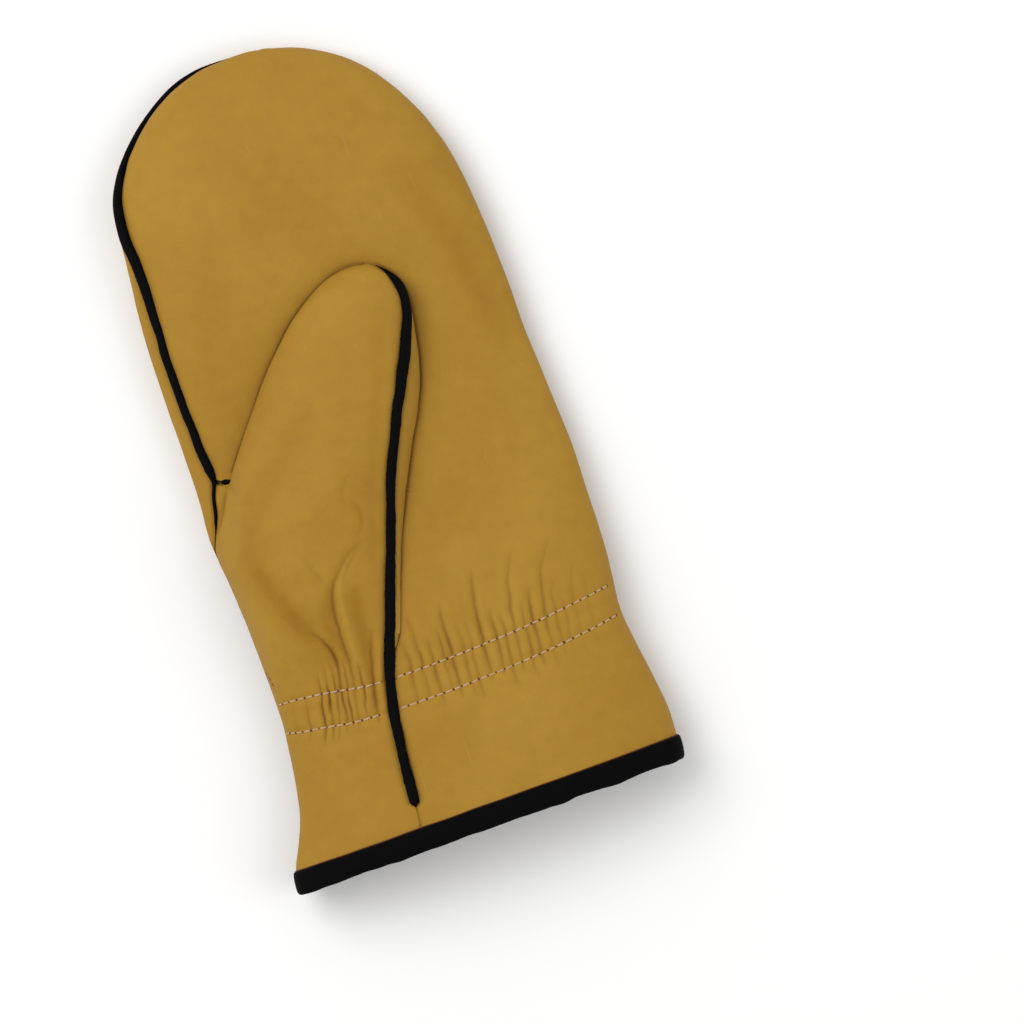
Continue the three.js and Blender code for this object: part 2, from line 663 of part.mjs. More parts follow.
const panels = new THREE.Group();
panels.add(node('hand_panel', handPanel(), leather('leather')));
panels.add(node('thumb_front', thumbFront(), leather('leather')));
panels.add(node('thumb_back', thumbBack(), leather('leather')));

const trims = new THREE.Group();
trims.add(node('hand_welt', weltGeometry(handWeltPath), trim('welt')));
trims.add(node('thumb_welt', weltGeometry(thumbWeltPath), trim('welt')));
trims.add(node('crotch_welt', weltGeometry(crotchWeltPath, CROTCH_WELT.radius), trim('welt')));
trims.add(node('cuff_binding', bindingGeometry(), trim('binding')));

const mitten = new THREE.Group();
mitten.add(panels, trims);
mitten.position.set(-OUTLINE_MIDDLE.x, -OUTLINE_MIDDLE.y, 0);

export default mitten;
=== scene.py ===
import math

import bpy
import numpy as np
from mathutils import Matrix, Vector
from mathutils.bvhtree import BVHTree
from mathutils.kdtree import KDTree


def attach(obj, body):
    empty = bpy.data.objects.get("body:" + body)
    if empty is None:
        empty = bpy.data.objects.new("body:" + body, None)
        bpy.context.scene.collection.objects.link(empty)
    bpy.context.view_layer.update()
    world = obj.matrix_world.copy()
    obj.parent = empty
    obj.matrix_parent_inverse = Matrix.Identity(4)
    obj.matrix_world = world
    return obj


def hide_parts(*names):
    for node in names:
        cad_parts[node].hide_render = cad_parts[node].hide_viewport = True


# A left-hand leather mitten lying palm up. The shapes are worked out in millimetres in plan
# coordinates whose origin is the middle of the cuff's hem, with +Y to the fingertips and +Z up,
# and are moved into the frame, in metres, when the meshes are made.

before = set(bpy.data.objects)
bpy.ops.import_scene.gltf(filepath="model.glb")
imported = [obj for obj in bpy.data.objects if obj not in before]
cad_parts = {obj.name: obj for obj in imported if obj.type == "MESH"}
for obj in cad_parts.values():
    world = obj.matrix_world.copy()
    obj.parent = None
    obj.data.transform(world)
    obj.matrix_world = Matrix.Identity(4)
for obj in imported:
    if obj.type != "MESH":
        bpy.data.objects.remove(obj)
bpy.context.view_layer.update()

ORIGIN = np.array([0.57, 142.6, 0.0])  # the frame's origin, in plan coordinates
MILLIMETRE = 0.001
RANDOM = np.random.default_rng(7)

LEATHER = 1.4  # thickness of the leather
HEM_Y = 1.5  # the leather's cut edge, inside the cuff's binding
WELT_END_Y = 16.0  # both long pipings stop here, above the binding
ACROSS, TOP, SOLE = 2.4, 2.0, 4.0  # exponents of the superellipses that the sections are
SOLE_PRESS = 1.04  # above 1 it presses more of the sole flat
THUMB_CLEARANCE = 0.7  # gap under the thumb where it rests on the palm
FOOT_INSET = 0.6  # share of the wall by which the thumb's inner edges lie higher
ROOT_REACH = 0.4  # share of a section over which the thumb's round side rises at its root
CROTCH_RIGHT = (11.0, 120.0)  # the ends of the seam under the thumb, in plan
CROTCH_LEFT = (-51.4, 147.2)
CROTCH_OVERLAP = 1.2  # how far the palm's leather reaches past that seam
STRIP_START_Y = 77.0  # above this the strip beside the thumb's piping opens
STRIP_RUNOUT = 10.0  # length over which it opens
STRIP_SHARE = 0.2  # the thumb's back keeps at least this share of its sections
PALM_FROM_Z = 12.0  # the hand's leather above this height belongs to its palm side
FAR = 99.0  # stands for a distance that doesn't matter

# The hand from the cuff to the end of the fingertip seam: a left and a right point in plan, and
# the heights of the side edges, of the top and of the sole
HAND = (
    "left_x left_y right_x right_y edge crown sole",
    [
        [-70.4, 1.5, 70.6, 1.5, 16.0, 35.0, 1.5],
        [-69.3, 9.0, 71.6, 9.0, 16.0, 35.2, 1.5],
        [-65.8, 17.0, 72.0, 17.0, 15.5, 35.2, 0.8],
        [-62.6, 25.0, 71.3, 25.0, 15.0, 35.0, 0.0],
        [-60.3, 35.0, 70.1, 35.0, 14.5, 34.6, 0.0],
        [-58.5, 46.0, 68.7, 46.0, 14.0, 34.2, 0.0],
        [-57.0, 57.0, 68.1, 57.0, 13.5, 34.0, 0.0],
        [-56.7, 68.0, 69.0, 68.0, 13.0, 33.6, 0.0],
        [-57.1, 82.0, 70.6, 82.0, 12.5, 32.2, 0.0],
        [-57.6, 97.0, 71.4, 97.0, 12.0, 30.2, 0.0],
        [-58.4, 112.0, 71.6, 112.0, 11.5, 27.8, 0.0],
        [-59.4, 127.0, 71.2, 127.0, 11.0, 25.8, 0.0],
        [-58.3, 143.0, 70.5, 143.0, 10.5, 24.8, 0.0],
        [-57.9, 160.0, 69.9, 160.0, 10.5, 24.6, 0.0],
        [-57.7, 178.0, 69.8, 178.0, 10.5, 25.0, 0.0],
        [-57.2, 196.0, 69.2, 196.0, 10.5, 26.0, 0.0],
        [-56.0, 212.0, 68.0, 212.0, 10.5, 26.8, 0.0],
        [-54.2, 228.0, 65.9, 227.0, 10.5, 27.0, 0.0],
        [-52.5, 242.0, 63.0, 238.0, 10.0, 26.4, 0.0],
        [-48.5, 253.3, 59.0, 248.5, 9.5, 25.0, 0.0],
        [-41.0, 263.9, 54.0, 257.6, 9.0, 22.8, 0.0],
        [-31.0, 273.0, 47.6, 265.8, 8.5, 20.2, 0.0],
        [-19.4, 280.1, 40.0, 272.6, 8.5, 17.4, 0.8],
        [-8.0, 283.6, 32.6, 277.2, 8.5, 14.8, 2.0],
        [2.6, 284.5, 26.8, 279.8, 8.5, 12.6, 3.8],
        [9.8, 284.3, 22.8, 281.2, 8.5, 11.2, 5.4],
        [14.4, 283.5, 19.0, 282.3, 8.5, 10.4, 6.4],
    ],
)

# The thumb side, from the cuff to the thumb's tip: a left point, where the leather turns under,
# and a right point, the foot of the strip beside the thumb's piping. seam_y is where the front
# panel's left end meets the hand's seam, crown the height of the top, lift the share of the
# thumb's own round section, root the share of the left edge that still is the hand's own, foot
# the height of the edges above the palm, wrap how far the leather turns under the left edge, and
# strip the width of the strip.
THUMB = (
    "left_x left_y right_x right_y seam_y crown lift root foot wrap strip",
    [
        [-70.4, 1.5, -20.6, 1.5, 1.5, 35.0, 0.0, 1.0, 0.4, 0.0, 3.7],
        [-65.8, 17.0, -18.6, 17.0, 17.0, 35.0, 0.0, 1.0, 0.4, 0.0, 3.7],
        [-60.3, 35.0, -16.8, 35.0, 35.0, 34.0, 0.0, 1.0, 0.4, 0.0, 3.7],
        [-57.4, 52.0, -14.2, 52.0, 52.0, 33.0, 0.0, 1.0, 0.4, 0.0, 3.7],
        [-56.7, 66.0, -10.4, 66.0, 66.0, 34.0, 0.2, 1.0, 0.4, 0.0, 3.7],
        [-57.1, 80.0, -5.2, 80.0, 80.0, 35.5, 0.7, 1.0, 0.4, 0.0, 3.7],
        [-57.6, 95.0, 0.3, 95.0, 95.0, 37.0, 1.0, 1.0, 0.4, 0.0, 3.7],
        [-58.2, 108.0, 4.6, 106.0, 108.0, 38.0, 1.0, 1.0, 0.4, 0.0, 3.7],
        [-57.8, 118.0, 9.6, 116.6, 119.5, 38.6, 1.0, 1.0, 0.6, 0.0, 5.0],
        [-55.2, 126.5, 13.9, 125.4, 130.5, 38.8, 1.0, 1.0, 0.9, 0.0, 6.1],
        [-51.4, 134.2, 19.6, 136.6, 140.0, 38.8, 1.0, 1.0, 1.2, 0.0, 6.9],
        [-48.8, 138.4, 22.2, 141.4, 145.4, 38.7, 1.0, 0.9, 1.6, 1.0, 7.3],
        [-46.2, 142.4, 24.2, 145.0, 147.0, 38.6, 1.0, 0.3, 1.8, 3.0, 7.5],
        [-43.4, 147.2, 25.8, 148.4, 150.0, 38.5, 1.0, 0.0, 2.0, 4.5, 7.5],
        [-38.4, 153.8, 28.4, 153.4, 154.0, 38.2, 1.0, 0.0, 2.0, 5.0, 7.2],
        [-31.3, 162.4, 30.5, 159.0, 162.0, 38.0, 1.0, 0.0, 2.0, 5.0, 6.4],
        [-23.4, 172.4, 32.1, 164.8, 172.0, 37.6, 1.0, 0.0, 2.0, 5.0, 4.9],
        [-15.4, 181.0, 33.3, 171.0, 181.0, 37.0, 1.0, 0.0, 2.0, 5.0, 3.4],
        [-7.2, 188.8, 34.6, 178.0, 189.0, 36.0, 1.0, 0.0, 2.0, 4.5, 2.0],
        [0.9, 194.4, 35.2, 184.6, 195.0, 34.6, 1.0, 0.0, 2.0, 4.0, 1.5],
        [8.6, 198.4, 34.3, 189.8, 199.0, 32.8, 1.0, 0.0, 2.0, 3.0, 1.2],
        [15.0, 200.3, 32.4, 193.8, 201.0, 31.0, 1.0, 0.0, 2.0, 2.0, 1.2],
        [20.2, 200.6, 30.4, 196.2, 201.4, 29.2, 1.0, 0.0, 2.0, 1.2, 1.1],
        [24.0, 200.0, 28.6, 197.9, 201.6, 27.6, 1.0, 0.0, 2.0, 0.8, 0.9],
    ],
)

# Where the hand's seam lies round the left edge, in degrees above the edge
HAND_SEAM = (
    "y degrees",
    [
        [1.5, -30], [17, -27], [34, -19], [60, -16], [100, -14], [114, -11], [121, 0], [127, 15],
        [134, 23], [141, 26], [147, 30], [160, 27.5], [185, 25.8], [205, 25.7], [220, 23.7],
        [234, 18.2], [245, 13.4], [256, 7.8], [268, 2], [280, -3], [286, -4],
    ],
)


def smooth(low, high, value):
    """A smooth step from 0 at low to 1 at high."""
    t = np.clip((value - low) / (high - low), 0.0, 1.0)
    return t * t * (3.0 - 2.0 * t)


def bell(value, width):
    """A bump that is 1 at 0 and has fallen to about a third at the width."""
    return np.exp(-((value / width) ** 2))


def mix(a, b, t):
    return a + (b - a) * t


def unit(vectors):
    return vectors / np.maximum(np.linalg.norm(vectors, axis=-1, keepdims=True), 1e-9)


class Spline:
    """A smooth curve through rows of named measures."""

    def __init__(self, table, knots=None):
        columns, rows = table
        self.columns = columns.split()
        self.rows = np.array(rows, float)
        if knots is None:
            step = np.diff(self.rows, axis=0)
            lengths = (np.hypot(step[:, 0], step[:, 1]) + np.hypot(step[:, 2], step[:, 3])) / 2
            knots = np.concatenate([[0.0], np.cumsum(lengths)])
        self.knots = np.array(knots, float)
        self.length = self.knots[-1]
        before = np.maximum(np.arange(len(self.knots)) - 1, 0)
        after = np.minimum(np.arange(len(self.knots)) + 1, len(self.knots) - 1)
        span = (self.knots[after] - self.knots[before])[:, None]
        self.slopes = (self.rows[after] - self.rows[before]) / span

    def at(self, value):
        v = np.clip(value, self.knots[0], self.knots[-1])
        i = np.clip(np.searchsorted(self.knots, v, side="left") - 1, 0, len(self.knots) - 2)
        h = (self.knots[i + 1] - self.knots[i])[..., None]
        t = (v - self.knots[i])[..., None] / h
        t2, t3 = t * t, t * t * t
        values = (
            (2 * t3 - 3 * t2 + 1) * self.rows[i]
            + (t3 - 2 * t2 + t) * h * self.slopes[i]
            + (3 * t2 - 2 * t3) * self.rows[i + 1]
            + (t3 - t2) * h * self.slopes[i + 1]
        )
        return {name: values[..., k] for k, name in enumerate(self.columns)}


class Stations(Spline):
    """Stations along the mitten, which can also be found by the Y of one of their ends."""

    def __init__(self, table):
        super().__init__(table)
        self.samples = np.linspace(0.0, self.length, 6001)
        self.found = {}
        row = self.at(self.samples)
        for end in ("left_y", "right_y"):
            rising = np.maximum.accumulate(row[end])
            self.found[end] = rising + np.linspace(0.0, 1e-6, len(rising))

    def find(self, y, end="left_y"):
        return np.interp(y, self.found[end], self.samples)


hand = Stations(HAND)
thumb = Stations(THUMB)
hand_seam = Spline(HAND_SEAM, [row[0] for row in HAND_SEAM[1]])


def seam_angle(position):
    return np.radians(hand_seam.at(hand.at(position)["left_y"])["degrees"])


# Where the wrist elastic draws the palm side in, along and across the hand
WRIST = {
    "start": 42.0,
    "lower": 51.0,
    "upper": 66.0,
    "end": 96.0,
    "middle": -6.0,
    "reach": 62.0,
    "full_share": 0.55,
    "depth": 0.9,
}

# Where the thumb presses the palm down: the ends of a line in plan, the width and the depth
BED = {"start": (-26.0, 140.0), "end": (20.0, 186.0), "width": 24.0, "depth": 4.2}


def draw_in(x, y):
    rising = smooth(WRIST["start"], WRIST["lower"], y)
    falling = 1 - smooth(WRIST["upper"], WRIST["end"], y)
    share = np.abs(x - WRIST["middle"]) / WRIST["reach"]
    return WRIST["depth"] * rising * falling * (1 - smooth(WRIST["full_share"], 1.0, share))


def distance_to_step(x, y, start, end):
    """The distance in plan to a straight step, and the share of its length that is nearest."""
    (ax, ay), (bx, by) = start, end
    length2 = (bx - ax) ** 2 + (by - ay) ** 2
    t = np.clip(((x - ax) * (bx - ax) + (y - ay) * (by - ay)) / length2, 0, 1)
    return np.hypot(x - mix(ax, bx, t), y - mix(ay, by, t)), t


def bed_depth(x, y):
    distance, _ = distance_to_step(x, y, BED["start"], BED["end"])
    return BED["depth"] * bell(distance, BED["width"])


def section_at(angle):
    """A section's two coordinates, from -1 to 1: 0 is the left edge, a quarter turn the top."""
    c, s = -np.cos(angle), np.sin(angle)
    across = np.sign(c) * np.abs(c) ** (2 / ACROSS)
    up = np.where(s > 0, np.abs(s) ** (2 / TOP), -(np.abs(s) ** (2 / SOLE)))
    return across, up


def plan_point(row, across, inset):
    dx = row["right_x"] - row["left_x"]
    dy = row["right_y"] - row["left_y"]
    share = 0.5 + (0.5 - inset / np.hypot(dx, dy)) * across
    return row["left_x"] + dx * share, row["left_y"] + dy * share


def hand_point(position, angle, inset):
    position, angle = np.broadcast_arrays(position, angle)
    row = hand.at(position)
    across, up = section_at(angle)
    x, y = plan_point(row, across, inset)
    top = row["crown"] - bed_depth(x, y) - draw_in(x, y) - inset
    sole = np.maximum(0.0, row["sole"]) + inset
    above = mix(row["edge"], top, up)
    under = np.maximum(sole, mix(row["edge"], sole, -up * SOLE_PRESS))
    return np.stack([x, y, np.where(up >= 0, above, under)], axis=-1)


def hand_top_angle(position, x):
    row = hand.at(position)
    across = np.clip(2 * (x - row["left_x"]) / (row["right_x"] - row["left_x"]) - 1, -1, 1)
    return np.arccos(-np.sign(across) * np.abs(across) ** (ACROSS / 2))


def palm_height(x, y):
    position = hand.find(y)
    return hand_point(position, hand_top_angle(position, x), 0.0)[..., 2]


def thumb_point(position, angle, inset):
    position, angle = np.broadcast_arrays(position, angle)
    row = thumb.at(position)
    across, up = section_at(angle)
    x, y = plan_point(row, across, inset)
    palm = palm_height(x, y)
    edge = palm + row["foot"] + inset * FOOT_INSET
    above = mix(edge, row["crown"] - draw_in(x, y) - inset, up)
    under = mix(edge, palm + THUMB_CLEARANCE + inset, -up)
    return np.stack([x, y, np.where(up >= 0, above, under)], axis=-1)


def thumb_angle_from_edge(position, distance):
    row = thumb.at(position)
    half = np.hypot(row["right_x"] - row["left_x"], row["right_y"] - row["left_y"]) / 2
    return np.arccos(np.clip(1 - distance / half, 0, 1) ** (ACROSS / 2))


def front_section(position, inset, steps):
    """The palm-side panel's sections, from the hand's seam or the thumb's to the thumb's welt."""
    position = np.asarray(position, float)[:, None]
    t = np.linspace(0.0, 1.0, steps + 1)[None, :]
    row = thumb.at(position)
    welt_angle = math.pi - thumb_angle_from_edge(position, row["strip"])
    welt_plan = thumb_point(position, welt_angle, 0.0)
    below = -thumb_angle_from_edge(position, row["wrap"])
    hand_from = hand.find(row["seam_y"])
    hand_to = hand.find(welt_plan[..., 1])
    to_angle = hand_top_angle(hand_to, welt_plan[..., 0])
    on_hand = hand_point(
        mix(hand_from, hand_to, t), mix(seam_angle(hand_from), to_angle, t), inset
    )
    on_thumb = thumb_point(position, mix(below, welt_angle, t), inset)
    rooted = np.clip(row["root"], 0, 1) * (1 - smooth(0, ROOT_REACH, t))
    weight = np.clip(row["lift"] * (1 - rooted), 0, 1)[..., None]
    return mix(on_hand, on_thumb, weight)


def back_section(position, inset, steps):
    """The thumb's back, from its welt over the strip and under the thumb."""
    position = np.asarray(position, float)
    column = position[:, None]
    row = thumb.at(column)
    welt_angle = math.pi - thumb_angle_from_edge(column, row["strip"])
    end_angle = 2 * math.pi - thumb_angle_from_edge(column, row["wrap"])
    angle = mix(welt_angle, end_angle, np.linspace(0.0, 1.0, steps + 1)[None, :])
    points = thumb_point(column, angle, inset)
    shift = front_section(position, inset, 4)[:, -1:] - points[:, :1]
    near = np.clip((math.pi - angle) / (math.pi - welt_angle), 0, 1)[..., None]
    return points + shift * near


def palm_edge_x(y):
    """The X at which the hand panel's palm side ends, below the seam under the thumb."""
    station = thumb.at(thumb.find(y, "right_y"))
    opening = smooth(STRIP_START_Y, STRIP_START_Y + STRIP_RUNOUT, y)
    crease = mix(station["right_x"] - station["strip"], station["right_x"] - 0.2, opening)
    (sx, sy), (ex, ey) = CROTCH_RIGHT, CROTCH_LEFT
    overlap = CROTCH_OVERLAP * smooth(sy + 2.0, sy + 14.0, y)
    seam = mix(sx, ex, (y + overlap - sy) / (ey - sy))
    return np.where(y > sy, seam, crease)


def hand_section(position, inset, under_steps, over_steps):
    """The folded panel's sections: from the seam under to the fold, and back over the palm."""
    position = np.asarray(position, float)[:, None]
    left_y = hand.at(position)["left_y"]
    start = seam_angle(position)
    whole = start - 2 * math.pi
    on_palm = hand_top_angle(position, palm_edge_x(left_y)) - 2 * math.pi
    below_crotch = left_y < CROTCH_LEFT[1] - CROTCH_OVERLAP
    stop = np.where(below_crotch & (position < hand.length / 2), on_palm, whole)
    under = mix(start, -math.pi, np.linspace(0, 1, under_steps + 1)[None, :])
    over = mix(-math.pi, stop, np.linspace(0, 1, over_steps + 1)[None, 1:])
    return hand_point(position, np.concatenate([under, over], axis=1), inset)


# Small helpers for meshes

NOISE_STEPS = np.array([127.1, 311.7, 74.7])  # with NOISE_SCALE they scramble a lattice point
NOISE_SCALE = 43758.5453
NOISE_SHIFT, NOISE_PHASE = 17.13, 3.3  # by these a seed changes the noise


def turns(sides):
    """The angles of a ring's points."""
    return [2 * math.pi * j / sides for j in range(sides)]


def lattice_noise(points, size, seed):
    """Smooth noise from -1 to 1 with features of about this size."""
    p = points / size + seed * NOISE_SHIFT
    cell = np.floor(p)
    f = p - cell
    u = f * f * f * (f * (f * 6 - 15) + 10)
    total = np.zeros(points.shape[:-1])
    for corner in range(8):
        offset = np.array([corner & 1, (corner >> 1) & 1, corner >> 2], float)
        value = np.sin((cell + offset) @ NOISE_STEPS + seed * NOISE_PHASE) * NOISE_SCALE
        value = (value - np.floor(value)) * 2 - 1
        total += value * np.prod(np.where(offset > 0, u, 1 - u), axis=-1)
    return total


def line_noise(along, size, seed):
    points = np.stack([along, np.zeros_like(along), np.zeros_like(along)], axis=-1)
    return lattice_noise(points, size, seed)


def grid_normals(grid):
    du = np.gradient(grid, axis=0)
    dv = np.gradient(grid, axis=1)
    return unit(np.cross(dv, du))


def outward(grid, normals, inner):
    """Turns the normals so that they point away from the inner surface."""
    side = np.sum(normals * (grid - inner), axis=-1).mean()
    return normals if side > 0 else -normals


def point_tree(points):
    tree = KDTree(len(points))
    for index, point in enumerate(points):
        tree.insert(point, index)
    tree.balance()
    return tree


class Seam:
    """A seam's path as dense points, with a half width that its piping has there."""

    def __init__(self, points, half_width):
        self.half_width = half_width
        self.tree = point_tree(points)

    def nearest(self, points):
        """The distance from each point to the seam, and the half width where it is nearest."""
        found = [self.tree.find(point)[1:] for point in points.reshape(-1, 3)]
        index, distance = np.array(found).T
        shape = points.shape[:-1]
        return distance.reshape(shape), self.half_width[index.astype(int)].reshape(shape)


class Touching:
    """The distance from points of the palm side to the thumb's surface points."""

    def __init__(self, grids):
        self.tree = point_tree(np.concatenate([grid.reshape(-1, 3) for grid in grids]))

    def distance(self, points):
        flat = points.reshape(-1, 3)
        near = [self.tree.find(p)[2] if p[2] > PALM_FROM_Z else FAR for p in flat]
        return np.array(near).reshape(points.shape[:-1])


def arc(points):
    """The length walked along a path at each of its points."""
    steps = np.linalg.norm(np.diff(points, axis=0), axis=1)
    return np.concatenate([[0.0], np.cumsum(steps)])


def between(wanted, knots, points):
    """The points of a path at places between its knots."""
    return np.stack([np.interp(wanted, knots, points[:, k]) for k in range(3)], axis=-1)


def picked(points, places):
    """The points at fractional indices."""
    return between(places, np.arange(len(points)), points)


def resampled(points, step):
    length = arc(points)
    count = max(2, int(round(length[-1] / step)) + 1)
    return between(np.linspace(0.0, length[-1], count), length, points)


def spaced(points, first, last, count, density):
    """Fractional indices between first and last, spaced by length weighted with a density."""
    index = np.concatenate([[first], np.arange(math.ceil(first + 1e-6), last), [last]])
    place = picked(points, index)
    middle = (place[1:] + place[:-1]) / 2
    walked = np.linalg.norm(np.diff(place, axis=0), axis=1) * density(middle)
    walked = np.concatenate([[0.0], np.cumsum(walked)])
    return np.interp(np.linspace(0, walked[-1], count + 1), walked, index)


def crossing(clear, from_start):
    """The fractional index at which a signed clearance first turns positive from one end."""
    values = clear if from_start else clear[::-1]
    i = 0
    while i < len(values) - 2 and values[i] <= 0:
        i += 1
    place = float(i)
    if i > 0:
        place = i - values[i] / (values[i] - values[i - 1])
    return place if from_start else len(values) - 1 - place


def new_object(name, vertices, faces, face_material, materials, attributes=None):
    mesh = bpy.data.meshes.new(name)
    placed = (np.asarray(vertices, float) - ORIGIN) * MILLIMETRE
    mesh.from_pydata(placed.tolist(), [], faces)
    for material in materials:
        mesh.materials.append(material)
    mesh.polygons.foreach_set("material_index", np.asarray(face_material, dtype=np.int32))
    mesh.polygons.foreach_set("use_smooth", np.ones(len(mesh.polygons), dtype=bool))
    for key, values in (attributes or {}).items():
        layer = mesh.attributes.new(key, "FLOAT", "POINT")
        layer.data.foreach_set("value", np.asarray(values, dtype=np.float32))
    mesh.validate()
    mesh.update()
    obj = bpy.data.objects.new(name, mesh)
    bpy.context.collection.objects.link(obj)
    return obj


def grid_faces(rows, columns, start, flip):
    i, j = np.meshgrid(np.arange(rows - 1), np.arange(columns - 1), indexing="ij")
    a = (start + i * columns + j).ravel()
    quads = np.stack([a, a + 1, a + columns + 1, a + columns], axis=-1)
    return (quads[:, ::-1] if flip else quads).tolist()


def border(rows, columns):
    """The indices round a grid's edge, in order."""
    top = [(0, j) for j in range(columns)]
    right = [(i, columns - 1) for i in range(1, rows)]
    bottom = [(rows - 1, j) for j in range(columns - 2, -1, -1)]
    left = [(i, 0) for i in range(rows - 2, 0, -1)]
    return [i * columns + j for i, j in top + right + bottom + left]


def tube_faces(rings, sides):
    """Faces between rings of points, each ring joined to the next."""
    faces = []
    for low in range(0, (rings - 1) * sides, sides):
        high = low + sides
        for j in range(sides):
            k = (j + 1) % sides
            faces.append([low + j, low + k, high + k, high + j])
    return faces


LINING_STEP = 3  # the inside of a panel keeps every third row and column


def thinned(count):
    return np.unique(np.r_[np.arange(0, count, LINING_STEP), count - 1])


def leather_object(name, outer, inner, attributes, materials):
    """A sheet of leather from its outside, its inside at the same places, and their rim."""
    rows, columns = outer.shape[:2]
    volume = np.sum(grid_normals(outer) * (outer - inner), axis=-1).mean()
    flip = volume < 0
    outside = outer.reshape(-1, 3)
    rim = border(rows, columns)
    edge = inner.reshape(-1, 3)[rim]
    lining = inner[np.ix_(thinned(rows), thinned(columns))]
    vertices = np.concatenate([outside, edge, lining.reshape(-1, 3)])
    faces = grid_faces(rows, columns, 0, flip)
    base, count = len(outside), len(rim)
    for k in range(count):
        n = (k + 1) % count
        quad = [rim[k], base + k, base + n, rim[n]]
        faces.append(quad[::-1] if flip else quad)
    kinds = [0] * len(faces)
    more = grid_faces(*lining.shape[:2], base + count, not flip)
    faces += more
    kinds += [1] * len(more)
    values = {}
    for key, grid in attributes.items():
        flat = grid.reshape(-1)
        values[key] = np.concatenate([flat, flat[rim], np.zeros(lining[..., 0].size)])
    return new_object(name, vertices, faces, kinds, materials, values)


# Seams

hand_seam_positions = np.linspace(0.0, hand.length, 1800)
hand_seam_points = hand_point(hand_seam_positions, seam_angle(hand_seam_positions), 0.0)
thumb_seam_positions = np.linspace(0.0, thumb.length, 1200)
thumb_seam_points = front_section(thumb_seam_positions, 0.0, 4)[:, -1]

hand_seam_arc = arc(hand_seam_points)
thumb_seam_arc = arc(thumb_seam_points)
hand_welt_from = np.interp(WELT_END_Y, hand_seam_points[:, 1], hand_seam_arc)
RISING = 900  # over this many of its points the thumb's seam runs towards the fingertips
thumb_welt_from = np.interp(
    WELT_END_Y, thumb_seam_points[:RISING, 1], thumb_seam_arc[:RISING]
)

# Half the piping's width at the cuff, and how it changes along the seam: from Y, to Y, by
HAND_PIPING = 1.55
HAND_PIPING_CHANGES = [
    (104.0, 118.0, -1.45),
    (127.0, 137.0, 0.55),
    (144.0, 151.0, 0.95),
    (196.0, 220.0, 0.45),
    (246.0, 270.0, -0.7),
]
THUMB_PIPING = 1.85
THUMB_PIPING_CHANGES = [(140.0, 165.0, 0.3)]


def half_width_along(y, first, changes):
    return first + sum(change * smooth(low, high, y) for low, high, change in changes)


def hand_half_width(s):
    """Half the piping's width along the hand's seam: thin at the fingertip and at the crotch."""
    y = np.interp(s, hand_seam_arc, hand_seam_points[:, 1])
    start = smooth(hand_welt_from - 0.4, hand_welt_from + 2.0, s)
    end = 0.2 + 0.8 * smooth(8.0, 32.0, hand_seam_arc[-1] - s)
    return half_width_along(y, HAND_PIPING, HAND_PIPING_CHANGES) * start * end


def thumb_half_width(s):
    """Half the piping's width along the thumb's seam: it starts thin at the thumb's tip."""
    y = np.interp(s, thumb_seam_arc, thumb_seam_points[:, 1])
    start = smooth(thumb_welt_from - 0.4, thumb_welt_from + 2.0, s)
    end = 0.1 + 0.9 * smooth(0.0, 13.0, thumb_seam_arc[-1] - s)
    return half_width_along(y, THUMB_PIPING, THUMB_PIPING_CHANGES) * start * end


hand_line = Seam(hand_seam_points, hand_half_width(hand_seam_arc))
thumb_line = Seam(thumb_seam_points, thumb_half_width(thumb_seam_arc))

# How far the leather's edge stays from a seam's middle: a share of the piping's half width
EDGE_SHARE = 0.55
EDGE_LEAST = 0.1


def seam_clearance(points):
    near_hand, width_hand = hand_line.nearest(points)
    near_thumb, width_thumb = thumb_line.nearest(points)
    return np.minimum(
        near_hand - (EDGE_SHARE * width_hand + EDGE_LEAST),
        near_thumb - (EDGE_SHARE * width_thumb + EDGE_LEAST),
    )


# Folds and creases

